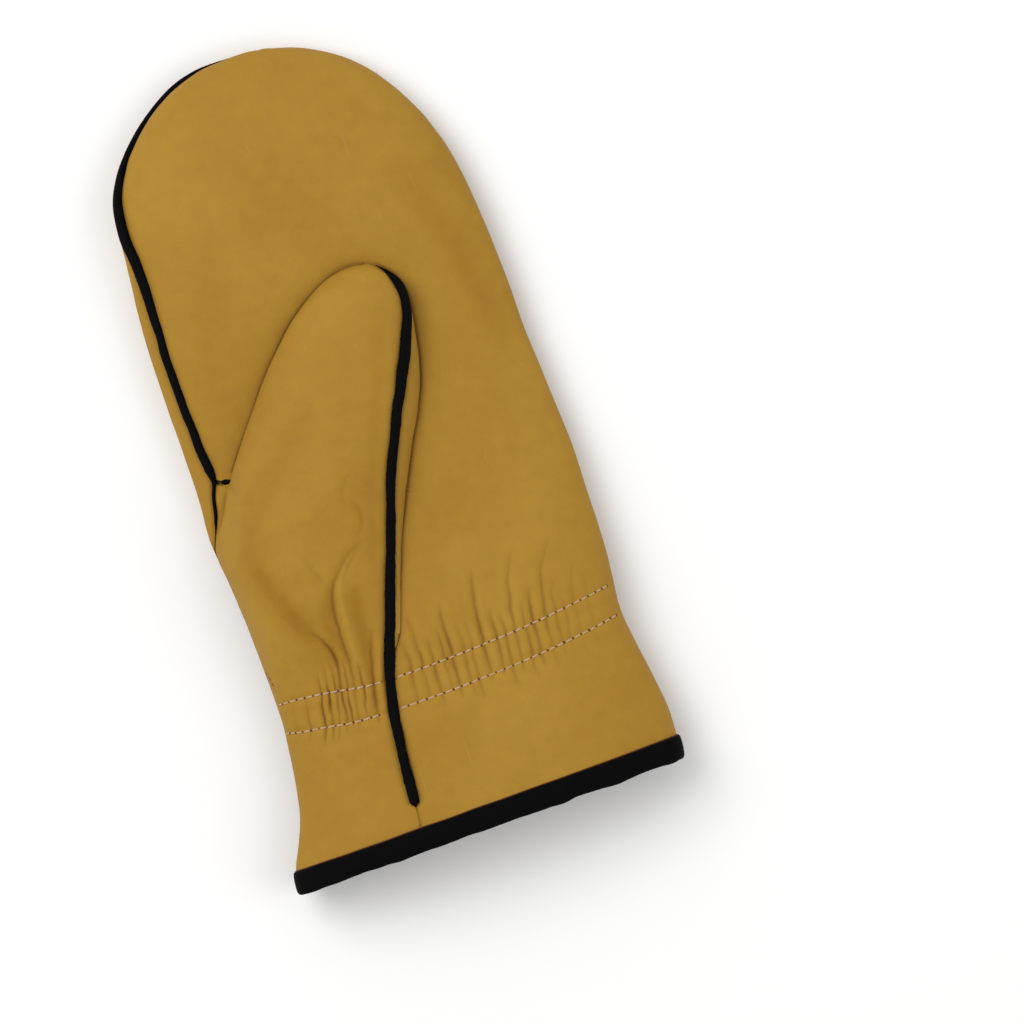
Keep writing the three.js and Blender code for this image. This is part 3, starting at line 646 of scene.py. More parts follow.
# Sharp creases: points in plan, half width, depth, the darkness of their painted shade and the
# height of the ridges beside
CREASES = [
    ([(-8.0, 109.7), (-13.8, 106.9), (-15.9, 105.7), (-20.2, 101.9), (-23.0, 98.9), (-24.6, 95.6),
      (-25.9, 90.0), (-26.8, 83.7), (-27.1, 77.2), (-27.0, 71.8), (-27.7, 66.7), (-28.9, 61.2),
      (-29.9, 55.6), (-30.8, 50.6), (-32.0, 46.0)], 1.0, 0.9, 0.62, 0.3),
    ([(-9.5, 107.6), (-13.4, 105.0), (-18.6, 100.4), (-22.0, 95.4)], 0.8, 0.25, 0.25, 0.08),
    ([(-30.6, 113.0), (-28.9, 107.6), (-27.1, 101.8), (-26.4, 98.0)], 1.3, 0.2, 0.25, 0.06),
    ([(-36.5, 85.4), (-33.6, 80.7), (-32.1, 76.9), (-31.5, 73.7), (-31.6, 70.7), (-32.2, 67.5),
      (-33.4, 61.5), (-34.4, 54.4), (-36.0, 48.0)], 0.9, 0.9, 0.95, 0.35),
    ([(-29.2, 73.0), (-29.4, 69.9), (-30.5, 63.9), (-31.4, 60.7), (-32.3, 54.1), (-33.4, 48.6)],
     0.7, 0.7, 0.9, 0.25),
    ([(-36.2, 73.0), (-36.7, 70.1), (-37.6, 63.5), (-38.9, 57.0), (-39.6, 53.8), (-40.6, 50.2),
      (-42.0, 46.0)], 0.75, 0.75, 0.9, 0.3),
    ([(-39.3, 70.5), (-40.1, 64.9), (-41.4, 58.4), (-42.2, 54.7), (-43.2, 51.1), (-45.0, 46.0)],
     0.7, 0.65, 0.8, 0.25),
    ([(-45.7, 65.5), (-46.5, 60.2), (-47.8, 53.7), (-49.3, 49.0)], 0.7, 0.3, 0.45, 0.1),
    ([(-51.0, 64.5), (-51.6, 58.0), (-52.4, 51.0)], 0.7, 0.15, 0.2, 0.05),
    ([(-34.2, 75.5), (-34.0, 70.9), (-34.6, 65.0), (-35.6, 59.4), (-37.5, 53.0), (-38.6, 49.6),
      (-40.2, 45.6)], 0.65, 0.5, 0.6, 0.2),
    ([(-16.0, 79.0), (-18.2, 73.4), (-19.6, 70.4), (-20.5, 67.3), (-21.9, 60.8), (-23.6, 53.5),
      (-24.6, 47.0)], 1.15, 1.15, 1.0, 0.4),
    ([(-24.2, 71.0), (-25.0, 65.4), (-26.2, 58.6), (-27.8, 49.0)], 0.75, 0.6, 0.7, 0.25),
    ([(-12.4, 73.0), (-15.4, 66.0), (-17.8, 58.0), (-19.6, 48.0)], 0.9, 0.6, 0.7, 0.2),
    ([(-56.4, 78.4), (-55.9, 74.5), (-55.2, 70.1)], 0.5, 0.35, 0.8, 0.1),
    ([(-45.6, 146.0), (-49.1, 140.0), (-53.0, 133.2), (-56.5, 127.6)], 0.8, 0.9, 0.5, 0.35),
    ([(-8.0, 124.0), (-6.0, 119.5), (-7.0, 114.5), (-10.0, 111.0)], 0.9, 0.2, 0.25, 0.06),
    ([(-5.0, 133.0), (-9.5, 128.0), (-10.5, 121.0)], 1.1, 0.16, 0.18, 0.05),
]


def hidden_gathers():
    """Gathers across the rest of the wrist, along the elastic."""
    creases = []
    x = -7.5
    count = 0
    while x < 60.0:
        long_fold = count % 3 == 1
        up = RANDOM.uniform(80.0, 94.0) if long_fold else RANDOM.uniform(68.0, 76.0)
        down = RANDOM.uniform(43.0, 49.0)
        fade = 1.0 - 0.75 * smooth(30.0, 60.0, x)
        fan = (x - 2.0) * 0.012 * (up - 68.0)
        lean = RANDOM.uniform(-0.5, 0.5)
        line = [
            (x + fan + lean, up), (x + fan * 0.4 + lean * 0.5, mix(68.0, up, 0.55)), (x, 65.0),
            (x - 0.8, 57.0), (x - 1.4, 51.0), (x - 1.8 - lean, down),
        ]
        amount = RANDOM.uniform(0.45, 0.8) * fade
        creases.append((line, RANDOM.uniform(0.75, 1.1), amount, amount, 0.35 * amount))
        x += RANDOM.uniform(2.6, 4.6) * (1.25 if long_fold else 1.0)
        count += 1
    return creases


# Broad soft folds and hollows: points in plan, half width, depth and how much painted shade darkens
# the leather there, where a negative value paints light; a negative depth is a ridge.
HOLLOWS = [
    ([(-9.1, 160.0), (-18.5, 150.9), (-28.8, 142.2), (-37.4, 135.4), (-45.3, 126.5),
      (-48.4, 115.2), (-45.5, 104.2), (-40.8, 91.4), (-37.1, 80.1), (-35.1, 70.1)], 4.8, 1.0, 0.5),
    ([(-47.6, 112.0), (-45.2, 103.2), (-41.2, 92.6), (-37.0, 83.6), (-33.6, 77.0), (-32.6, 70.0)],
     3.0, 0.5, 0.75),
    ([(-17.2, 166.0), (-31.3, 152.4), (-44.0, 138.6), (-51.5, 125.9), (-54.2, 113.1),
      (-53.0, 97.1), (-50.8, 82.3)], 3.8, -0.5, -0.25),
    ([(-25.0, 97.6), (-28.0, 92.0), (-29.4, 86.6), (-29.6, 81.2), (-29.3, 76.3), (-29.2, 70.5)],
     2.2, 0.7, 0.85),
    ([(-17.0, 103.0), (-20.9, 97.6), (-21.9, 94.0), (-22.6, 90.3), (-23.0, 85.5), (-23.5, 80.7),
      (-24.0, 75.9), (-24.1, 72.0), (-24.7, 68.3)], 2.0, -0.8, -0.5),
    ([(-15.5, 96.0), (-18.1, 86.7), (-18.7, 82.5), (-19.2, 78.2), (-19.8, 74.4), (-20.6, 70.8),
      (-22.4, 64.9), (-23.7, 60.0)], 2.4, 0.9, 1.0),
    ([(25.8, 184.6), (18.3, 165.6), (10.3, 146.8), (2.4, 128.0), (-2.7, 111.2), (-7.8, 94.4),
      (-13.0, 80.0)], 3.0, 0.3, 0.35),
    ([(1.0, 134.6), (-5.1, 124.4), (-5.5, 112.2), (-8.0, 100.0)], 5.0, 0.4, 0.3),
    ([(-7.2, 137.6), (-20.4, 126.8), (-29.8, 117.8), (-31.4, 102.9)], 6.5, -0.5, -0.25),
    ([(46.0, 232.0), (55.0, 203.0), (58.9, 186.4), (61.2, 169.7), (62.0, 148.9)], 5.0, 0.8, 0.45),
    ([(-20.0, 230.0), (-26.5, 222.0), (-29.3, 207.5), (-33.6, 193.5), (-38.2, 176.6),
      (-41.7, 162.4)], 7.0, 0.6, 0.4),
    ([(-16.0, 222.0), (2.1, 224.1), (16.0, 212.0)], 8.0, 0.4, 0.2),
    ([(31.0, 121.0), (15.1, 104.8), (0.4, 85.3)], 7.0, 0.5, 0.35),
    ([(43.1, 178.4), (34.8, 159.7), (26.5, 141.0), (17.7, 122.5)], 3.0, -0.25, -0.2),
    ([(-44.0, 28.0), (-20.0, 34.0), (10.0, 30.0)], 9.0, 0.6, 0.25),
    ([(26.0, 96.0), (34.0, 116.0), (44.0, 140.0)], 8.0, 0.8, 0.3),
    ([(22.0, 60.0), (40.0, 80.0), (56.0, 108.0)], 6.0, -0.6, -0.2),
]


ROWS = [
    [(-55.6, 65.2), (-48.2, 64.8), (-41.0, 64.0), (-34.0, 62.9), (-27.9, 61.8), (-22.5, 61.1),
     (-10.0, 60.6), (10.0, 60.9), (35.0, 62.2), (55.0, 64.2), (67.5, 66.0)],
    [(-56.6, 54.9), (-50.4, 53.5), (-45.0, 52.9), (-38.0, 51.6), (-33.7, 50.9), (-22.0, 50.2),
     (-10.0, 50.0), (10.0, 50.2), (35.0, 51.4), (55.0, 53.4), (67.0, 55.2)],
]


def line_profile(x, y, line):
    """Distance to a line in plan, positive on its right, and the share along it."""
    line = np.array(line, float)
    lengths = np.hypot(*np.diff(line, axis=0).T)
    total = lengths.sum()
    best = np.full(x.shape, 1e9)
    side = np.ones(x.shape)
    share = np.zeros(x.shape)
    walked = 0.0
    for start, end, length in zip(line[:-1], line[1:], lengths):
        distance, t = distance_to_step(x, y, start, end)
        nearer = distance < best
        best = np.where(nearer, distance, best)
        (ax, ay), (bx, by) = start, end
        turn = (bx - ax) * (y - ay) - (by - ay) * (x - ax)
        side = np.where(nearer, np.sign(turn), side)
        share = np.where(nearer, (walked + t * length) / total, share)
        walked += length
    return best * side, share


def dense_line(line):
    """A smooth run of points through a crease's few points."""
    line = np.array(line, float)
    knots = np.concatenate([[0.0], np.cumsum(np.hypot(*np.diff(line, axis=0).T))])
    curve = Spline(("x y", line.tolist()), knots)
    row = curve.at(np.linspace(0, knots[-1], 4 * len(line)))
    return list(zip(row["x"], row["y"]))


ALL_CREASES = [(dense_line(line), *rest) for line, *rest in CREASES + hidden_gathers()]
ALL_HOLLOWS = [(dense_line(line), *rest) for line, *rest in HOLLOWS]
STITCH_LINES = [dense_line(row) for row in ROWS]

# The thumb's outline in plan, where it lies on the palm
THUMB_EDGES = [
    dense_line([row[0:2] for row in THUMB[1] if row[1] > 147.0]),
    dense_line([row[2:4] for row in THUMB[1] if row[3] > 90.0]),
]


def thumb_outline_distance(points):
    found = [np.abs(line_profile(points[..., 0], points[..., 1], line)[0]) for line in THUMB_EDGES]
    return np.minimum(*found)


# A crease's section in its own half widths: a sharp line in a wider valley, a line of painted
# shade, a slope with painted shade, and the ridges beside it as height, place and width
CREASE = {"sharp": 0.55, "valley": 1.5, "line": 0.6, "slope": 1.3, "slope_place": -0.9}
RIDGES = [(1.0, 2.6, 1.3), (0.5, -2.8, 1.4)]
SHARP_DEPTH, VALLEY_DEPTH = 0.6, 0.5  # shares of a crease's depth
# Painted shade on one slope of a crease, and painted light on the ridges beside it
SLOPE_SHADE, RIDGE_SHADE = 0.55, -0.35  # shares of its darkness
CREASE_TAPER, HOLLOW_TAPER = 0.6, 0.5  # the lower, the blunter the ends of a line
WANDERS = [(0.36, 5.0, 71), (0.2, 2.0, 72)]  # creases stray by noise: amount, size and seed
UNEVEN, UNEVEN_SIZE, UNEVEN_SEED = 0.35, 0.22, 80  # and are deeper in places

# The groove along a row of stitches, and the leather that swells beside it
ROW_GROOVE = {"depth": 0.3, "width": 1.0}
ROW_SWELL = {"height": 0.14, "place": 2.6, "width": 1.4}


def layered(points, layers):
    """Noises of several sizes, laid over each other."""
    return sum(amount * lattice_noise(points, size, seed) for amount, size, seed in layers)


def tapered(share, power):
    return np.sin(np.pi * np.clip(share, 0.0, 1.0)) ** power


def palm_relief(x, y):
    """Folds at points in plan: their depth, the painted shade along the creases, and the painted
    shade and light of the folds.
    """
    depth = np.zeros(x.shape)
    dark = np.zeros(x.shape)
    shade = np.zeros(x.shape)
    wander = layered(np.stack([x, y, 0 * x], axis=-1), WANDERS)
    for number, (line, width, amount, darkness, ridge) in enumerate(ALL_CREASES):
        distance, share = line_profile(x, y, line)
        distance = distance + wander
        away = np.abs(distance)
        uneven = 0.85 + UNEVEN * line_noise(share, UNEVEN_SIZE, UNEVEN_SEED + number)
        taper = tapered(share, CREASE_TAPER) * uneven
        sharp = np.exp(-away / (CREASE["sharp"] * width)) * taper
        valley = bell(away, CREASE["valley"] * width) * taper
        shoulder = taper * sum(
            high * bell(distance - place * width, wide * width) for high, place, wide in RIDGES
        )
        depth += amount * (SHARP_DEPTH * sharp + VALLEY_DEPTH * valley) - ridge * shoulder
        # Painted shade: a dark line along the crease's valley.
        dark = np.maximum(dark, bell(away, CREASE["line"] * width) * taper * darkness)
        # Painted shade on one slope of the crease and painted light on its ridges.
        from_slope = distance - CREASE["slope_place"] * width
        slope = bell(from_slope, CREASE["slope"] * width) * taper
        shade += darkness * (SLOPE_SHADE * slope + RIDGE_SHADE * shoulder)
    for row in STITCH_LINES:
        away = np.abs(line_profile(x, y, row)[0])
        depth += ROW_GROOVE["depth"] * bell(away, ROW_GROOVE["width"])
        depth -= ROW_SWELL["height"] * bell(away - ROW_SWELL["place"], ROW_SWELL["width"])
    for line, width, amount, darkness in ALL_HOLLOWS:
        distance, share = line_profile(x, y, line)
        hollow = bell(distance, width) * tapered(share, HOLLOW_TAPER)
        depth += amount * hollow
        # Painted shade in the hollows, and painted light on ridges where darkness is negative.
        shade += darkness * hollow
    return depth, np.clip(dark, 0.0, 1.0), np.clip(shade, -1.0, 1.0)


# Leather panels

FACING_UP = (0.15, 0.6)  # folds come in between these upward parts of the normal
FLOOR_ZONE = (0.3, 3.0)  # the leather keeps its shape below the first of these heights
LINING_LEAST_Z = 0.5  # the inside stays above the sole's leather
SWELLS = [(0.45, 34.0, 1), (0.2, 15.0, 2), (0.06, 6.0, 3)]  # amount, size and seed
PUCKERS = [(0.16, 4.5, 5)]
PUCKER_REACH = 4.5  # the puckers die away this far from a seam

# The groove at a seam and the dark line in it, which grow with the piping's half width. Where
# the piping is thinner than the second of "thin", the line fades.
GROOVE = {"width": 1.2, "width_share": 0.6, "depth": 0.45, "depth_share": 0.25}
SEAM_LINE = {"width": 0.5, "dark": 0.8, "thin": (0.05, 0.5)}

# Where the thumb touches the palm: a dark line of painted shade and a soft painted shadow, each
# with its width
CONTACT = {"dark": 0.95, "dark_width": 0.8, "shade": 0.25, "shade_width": 2.6}


def dressed(outer, inner, palm_side=True, touching=None):
    """Adds folds, seam grooves and small unevenness to a panel's outside."""
    normals = outward(outer, grid_normals(outer), inner)
    facing = smooth(*FACING_UP, normals[..., 2])
    off_floor = smooth(*FLOOR_ZONE, outer[..., 2])
    x, y = outer[..., 0], outer[..., 1]
    depth, dark, shade = [part * facing * palm_side for part in palm_relief(x, y)]

    near_hand, width_hand = hand_line.nearest(outer)
    near_thumb, width_thumb = thumb_line.nearest(outer)
    near = np.minimum(near_hand, near_thumb)
    width = np.where(near_hand < near_thumb, width_hand, width_thumb)
    groove = bell(near, GROOVE["width"] + GROOVE["width_share"] * width)
    move = -depth - (GROOVE["depth"] + GROOVE["depth_share"] * width) * groove
    move += layered(outer, PUCKERS) * bell(near, PUCKER_REACH)
    move += layered(outer, SWELLS) * (1 - groove)
    move *= off_floor

    seam_dark = bell(near, SEAM_LINE["width"] + width) * SEAM_LINE["dark"]
    dark = np.maximum(dark, seam_dark * smooth(*SEAM_LINE["thin"], width))
    # Painted shade where the thumb lies on the palm: a dark contact line and a soft shadow beside
    # it.
    if touching is not None:
        on_palm = outer[..., 2] > PALM_FROM_Z
        gap = np.where(on_palm, thumb_outline_distance(outer), FAR)
        gap = np.minimum(touching.distance(outer), gap)
        dark = np.maximum(dark, CONTACT["dark"] * bell(gap, CONTACT["dark_width"]))
        shade = shade + CONTACT["shade"] * bell(gap, CONTACT["shade_width"])
        shade = np.clip(shade, -1.0, 1.0)
    moved = outer + normals * move[..., None]
    moved[..., 2] = np.maximum(moved[..., 2], np.minimum(outer[..., 2], 0.0))
    lowered = inner + normals * np.minimum(move, 0.0)[..., None]
    lowered[..., 2] = np.maximum(lowered[..., 2], np.minimum(inner[..., 2], LINING_LEAST_Z))
    # crease holds the painted shade of the creases and of the thumb's contact, and the dark line
    # along the seams; shade holds the painted shade and light of the folds, 0.5 being neither.
    return moved, lowered, {"crease": dark, "shade": 0.5 + 0.5 * shade}


def rows_between(last, count, density):
    """Positions from 0 to last, with more of them where the density is higher."""
    samples = np.linspace(0.0, last, 2000)
    walked = np.concatenate([[0.0], np.cumsum(density((samples[1:] + samples[:-1]) / 2))])
    return np.interp(np.linspace(0, walked[-1], count), walked, samples)


def panel_grid(sections, inners, ranges, runs, density):
    """Picks a panel's columns out of its dense sections, in runs that end at an index each."""
    outside, inside = [], []
    for outer, inner, (first, last) in zip(sections, inners, ranges):
        places = [np.array([first])]
        for stop, count in runs:
            end = last if stop is None else stop
            places.append(spaced(outer, float(places[-1][-1]), end, count, density)[1:])
        places = np.concatenate(places)
        outside.append(picked(outer, places))
        inside.append(picked(inner, places))
    return np.array(outside), np.array(inside)


def clear_range(section):
    """The fractional indices between which a section stays clear of the seams."""
    clear = seam_clearance(section)
    middle = len(section) // 2
    return crossing(clear[:middle], True), crossing(clear[middle:], False) + middle


CLOSING_ROWS = 6
BULGE, LINING_SHARE = 0.3, 0.2  # how far a closed end bulges, and the inside's share of that
LEAST_KEPT = 0.01  # the last row keeps this share of its width


def closed_end(outer, inner, attributes, middle, direction):
    """Adds rows that close a panel over its last section, bulging out in a direction."""
    out = np.array(direction) * BULGE
    rows, inner_rows = [outer], [inner]
    for k in range(1, CLOSING_ROWS + 1):
        turn = 0.5 * math.pi * k / CLOSING_ROWS
        keep = max(math.cos(turn), LEAST_KEPT)
        bulge = out * math.sin(turn)
        rows.append((middle + (outer[-1] - middle) * keep + bulge)[None])
        inner_rows.append((middle + (inner[-1] - middle) * keep + bulge * LINING_SHARE)[None])
    for key, grid in attributes.items():
        attributes[key] = np.concatenate([grid, np.repeat(grid[-1:], CLOSING_ROWS, axis=0)])
    return np.concatenate(rows), np.concatenate(inner_rows)


# Rows and columns of the panels' meshes, and the finer steps from which the columns are picked
HAND_MESH = {"rows": 290, "under": 70, "over": 196, "under_steps": 260, "over_steps": 520}
FRONT_MESH = {"rows": 330, "columns": 210, "steps": 420}
BACK_MESH = {"rows": 210, "columns": 100, "steps": 420}
WRIST_Y = 60.0
HAND_END, THUMB_END = (0.25, 0.97, 0.0), (0.45, 0.89, 0.0)  # where the panels' tips point


def hand_rows(position):
    """How close the hand's rows lie: closer at the wrist and at the fingertips."""
    tip = smooth(hand.length - 45.0, hand.length, position)
    return 1.0 + 0.6 * bell(position - WRIST_Y, 26.0) + 2.0 * tip


def hand_columns(place):
    """How close the hand's columns lie: closer on the palm at the wrist and beside the thumb."""
    gathered = 1.1 * bell(place[:, 1] - 62.0, 26.0) * (place[:, 0] < 60.0)
    beside = 2.4 * bell(thumb_outline_distance(place), 2.6)
    return np.where(place[:, 2] > PALM_FROM_Z, 1.0 + gathered + beside, 1.0)


def front_rows(position):
    """How close the thumb front's rows lie: closer at the wrist, the crotch and the tip."""
    crotch = bell(position - thumb.find(146.0), 5.0)
    tip = smooth(thumb.length - 30.0, thumb.length, position)
    return 1.0 + 0.8 * bell(position - WRIST_Y, 24.0) + 1.5 * crotch + 1.5 * tip


def front_columns(place):
    """How close the thumb front's columns lie: closer at the gathers of the wrist."""
    return 1.0 + 2.2 * bell(place[:, 1] - 64.0, 24.0) * bell(place[:, 0] + 31.0, 14.0)


def back_columns(place):
    return np.ones(len(place))


def build_hand(materials, touching):
    positions = rows_between(hand.length, HAND_MESH["rows"], hand_rows)
    steps = (HAND_MESH["under_steps"], HAND_MESH["over_steps"])
    outer = hand_section(positions, 0.0, *steps)
    inner = hand_section(positions, LEATHER, *steps)
    ranges = [clear_range(section) for section in outer]
    runs = [(HAND_MESH["under_steps"], HAND_MESH["under"]), (None, HAND_MESH["over"])]
    outside, inside = panel_grid(outer, inner, ranges, runs, hand_columns)
    outside, inside, attributes = dressed(outside, inside, True, touching)
    middle = outside[-1].mean(axis=0)
    outside, inside = closed_end(outside, inside, attributes, middle, HAND_END)
    return leather_object("leather_hand", outside, inside, attributes, materials)


def build_thumb_front(materials):
    positions = rows_between(thumb.length, FRONT_MESH["rows"], front_rows)
    outer = front_section(positions, 0.0, FRONT_MESH["steps"])
    inner = front_section(positions, LEATHER, FRONT_MESH["steps"])
    ranges = [clear_range(section) for section in outer]
    runs = [(None, FRONT_MESH["columns"])]
    outside, inside = panel_grid(outer, inner, ranges, runs, front_columns)
    outside, inside, attributes = dressed(outside, inside)
    middle = (outside[-1, 0] + outside[-1, -1]) / 2
    middle[2] -= 0.6
    outside, inside = closed_end(outside, inside, attributes, middle, THUMB_END)
    return leather_object("leather_thumb_front", outside, inside, attributes, materials), outside


def crotch_side(points):
    """How far points in plan lie beyond the seam under the thumb, towards the fingertips."""
    (ax, ay), (bx, by) = CROTCH_RIGHT, CROTCH_LEFT
    length = math.hypot(bx - ax, by - ay)
    return -((bx - ax) * (points[:, 1] - ay) - (by - ay) * (points[:, 0] - ax)) / length


def build_thumb_back(materials):
    low = STRIP_START_Y - STRIP_RUNOUT
    positions = np.linspace(thumb.find(low, "right_y"), thumb.length, BACK_MESH["rows"])
    opening = smooth(low - 1.0, STRIP_START_Y + 3.0, thumb.at(positions)["right_y"])
    outer = back_section(positions, 0.0, BACK_MESH["steps"])
    inner = back_section(positions, LEATHER, BACK_MESH["steps"])
    least = STRIP_SHARE * BACK_MESH["steps"]
    ranges = []
    for section, open_share in zip(outer, opening):
        first, last = clear_range(section)
        beyond = crotch_side(section)
        if last > least and beyond[int(last)] <= 0:
            k = int(last)
            while k > least and beyond[k] <= 0:
                k -= 1
            last = max(float(k), least)
        ranges.append((first, first + (last - first) * max(0.02, open_share)))
    runs = [(None, BACK_MESH["columns"])]
    outside, inside = panel_grid(outer, inner, ranges, runs, back_columns)
    outside, inside, attributes = dressed(outside, inside, palm_side=False)
    return leather_object("leather_thumb_back", outside, inside, attributes, materials), outside


# Piping

PIPING_STEP = 0.35
PIPING_HEIGHT = 0.8  # share of the half width; the thumb's piping has its own
THUMB_PIPING_HEIGHT = 0.72
END_RADIUS = 1.4
SEAM_TILT = 0.02  # a small angle either side of the hand's seam, to find its direction

# The piping's unevenness, as shares of its width with the size of the features: how its width
# wobbles, how its sides fray and how its middle strays
WOBBLES = [(0.09, 9.0), (0.06, 2.6)]
FRAY, STRAY = (0.07, 0.9), (0.14, 7.0)
SIDE_FROM = 0.6  # cosine of the angle from which on a bead's points count as its sides
FRAY_SHIFT = 31.0  # the two sides fray differently
BEAD_POWER = 0.8


def swept(name, path, normals, half_width, height, sink, seed, material, sides=20):
    """A soft bead of folded strip along a path, half sunk between the panels."""
    tangent = unit(np.gradient(path, axis=0))
    side = unit(np.cross(tangent, normals))
    normal = unit(np.cross(side, tangent))
    along = arc(path)
    wobble = 1 + sum(
        share * line_noise(along, size, seed + k) for k, (share, size) in enumerate(WOBBLES)
    )
    stray = STRAY[0] * half_width * line_noise(along, STRAY[1], seed + 3)
    path = path + side * stray[:, None]
    rings = []
    for j, turn in enumerate(turns(sides)):
        c, s = math.cos(turn), math.sin(turn)
        shifted = along + FRAY_SHIFT * (j // (sides // 2))
        fray = 1 + FRAY[0] * line_noise(shifted, FRAY[1], seed + 2)
        width = half_width * wobble * (fray if abs(c) > SIDE_FROM else 1.0)
        across = width * np.sign(c) * abs(c) ** BEAD_POWER
        up = height * half_width * s - sink
        rings.append(path + side * across[:, None] + normal * up[:, None])
    rings = np.stack(rings, axis=1)
    vertices = rings.reshape(-1, 3)
    faces = tube_faces(len(path), sides)
    ends = np.array([rings[0].mean(axis=0), rings[-1].mean(axis=0)])
    base, last = len(vertices), (len(path) - 1) * sides
    for j in range(sides):
        k = (j + 1) % sides
        faces += [[base, k, j], [base + 1, last + j, last + k]]
    vertices = np.concatenate([vertices, ends])
    return new_object(name, vertices, faces, [0] * len(faces), [material])


def welt_run(points, arcs, start, end):
    """Places along a seam, from start to end, and their points."""
    wanted = np.arange(start, end, PIPING_STEP)
    return wanted, between(wanted, arcs, points)


def rounded_ends(s, half_width, start, end):
    near = np.clip(np.minimum(s - start, end - s) / END_RADIUS, 0, 1)
    return half_width * np.sqrt(np.clip(1 - (1 - near) ** 2, 0.02, 1))


def build_hand_piping(material):
    total = hand_seam_arc[-1]
    s, path = welt_run(hand_seam_points, hand_seam_arc, hand_welt_from - 0.2, total)
    position = np.interp(s, hand_seam_arc, hand_seam_positions)
    angle = seam_angle(position)
    above = hand_point(position, angle + SEAM_TILT, 0.0)
    below = hand_point(position, angle - SEAM_TILT, 0.0)
    normal = unit(np.cross(unit(above - below), unit(np.gradient(path, axis=0))))
    inner = hand_point(position, angle, 1.0)
    normal *= np.sign(np.sum(normal * (path - inner), axis=-1))[:, None]
    half = rounded_ends(s, hand_half_width(s), s[0], total + 3)
    proud = smooth(214.0, 240.0, path[:, 1]) * smooth(6.0, -10.0, path[:, 0])
    sink = half * (0.25 - 0.45 * proud) + 0.3 * smooth(0.5, 0.2, half)
    return swept("piping_hand", path, normal, half, PIPING_HEIGHT, sink, 11, material)


def build_thumb_piping(material):
    total = thumb_seam_arc[-1]
    s, path = welt_run(thumb_seam_points, thumb_seam_arc, thumb_welt_from - 0.2, total - 0.1)
    position = np.interp(s, thumb_seam_arc, thumb_seam_positions)
    sections = front_section(position, 0.0, 200)
    across = unit(sections[:, -1] - sections[:, -4])
    normal = unit(np.cross(across, unit(np.gradient(path, axis=0))))
    normal *= np.sign(normal[:, 2])[:, None]
    lean = np.clip(thumb.at(position)["lift"], 0, 1) * 0.25
    normal = unit(normal + across * lean[:, None])
    half = rounded_ends(s, thumb_half_width(s), s[0], total)
    sink = 0.04 * half
    return swept("piping_thumb", path, normal, half, THUMB_PIPING_HEIGHT, sink, 23, material)


# The crotch's short piece: the stretch of its seam that it covers, counted from the left, and
# its half width, which grows from thin to full and is thin again at its end
CROTCH_STRETCH = (0.012, 0.2)
CROTCH_PIPING = {"thin": 0.32, "more": 0.8, "from": 2.4, "to": 4.4, "sink": 0.1}


def build_crotch_piping(material):
    t = np.linspace(*CROTCH_STRETCH, 50)
    x = mix(CROTCH_LEFT[0], CROTCH_RIGHT[0], t) - 0.1
    y = mix(CROTCH_LEFT[1], CROTCH_RIGHT[1], t) - 0.5 * smooth(0.0, 0.06, t)
    path = resampled(np.stack([x, y, palm_height(x, y) - 0.1], axis=-1), 0.5)
    s = arc(path)
    swell = smooth(CROTCH_PIPING["from"], CROTCH_PIPING["to"], s)
    half = CROTCH_PIPING["thin"] + CROTCH_PIPING["more"] * swell * np.clip(s[-1] - s, 0.1, 1.0)
    normals = np.tile(np.array([0.0, 0.0, 1.0]), (len(path), 1))
    sink = np.full(len(path), CROTCH_PIPING["sink"])
    return swept("piping_crotch", path, normals, half, PIPING_HEIGHT, sink, 31, material, sides=14)


# Cuff binding

BINDING = {"depth": 8.4, "thickness": 1.0, "gap": 0.25, "inner_gap": 0.5}
RING = 420  # points round the cuff


def cuff_ring(y):
    """Points round the cuff's outside at a Y, evenly spaced, and their outward normals."""
    position = np.array(hand.find(max(y, HEM_Y)))
    closed = hand_point(position, np.linspace(0, 2 * math.pi, 3601), 0.0)
    length = arc(closed)
    wanted = np.linspace(0, length[-1], RING, endpoint=False)
    ring = between(wanted, length, closed)
    step = np.roll(ring, 1, axis=0) - np.roll(ring, -1, axis=0)
    normal = unit(np.stack([step[:, 2], np.zeros(RING), -step[:, 0]], axis=-1))
    return ring, normal, wanted


LOOP_RADIUS = 45.0  # the radius of the circle along which the binding's unevenness is taken
LOWER_WAVES = [(0.55, 12.0, 41), (0.42, 5.0, 42)]
UPPER_WAVES = [(0.12, 9.0, 43)]
THICKNESS_WAVES = [(0.12, 7.0, 44)]
BROWN_ROWS = 3  # the first rows of the binding are its brown cut edge
BINDING_LEAST_Z = 0.02


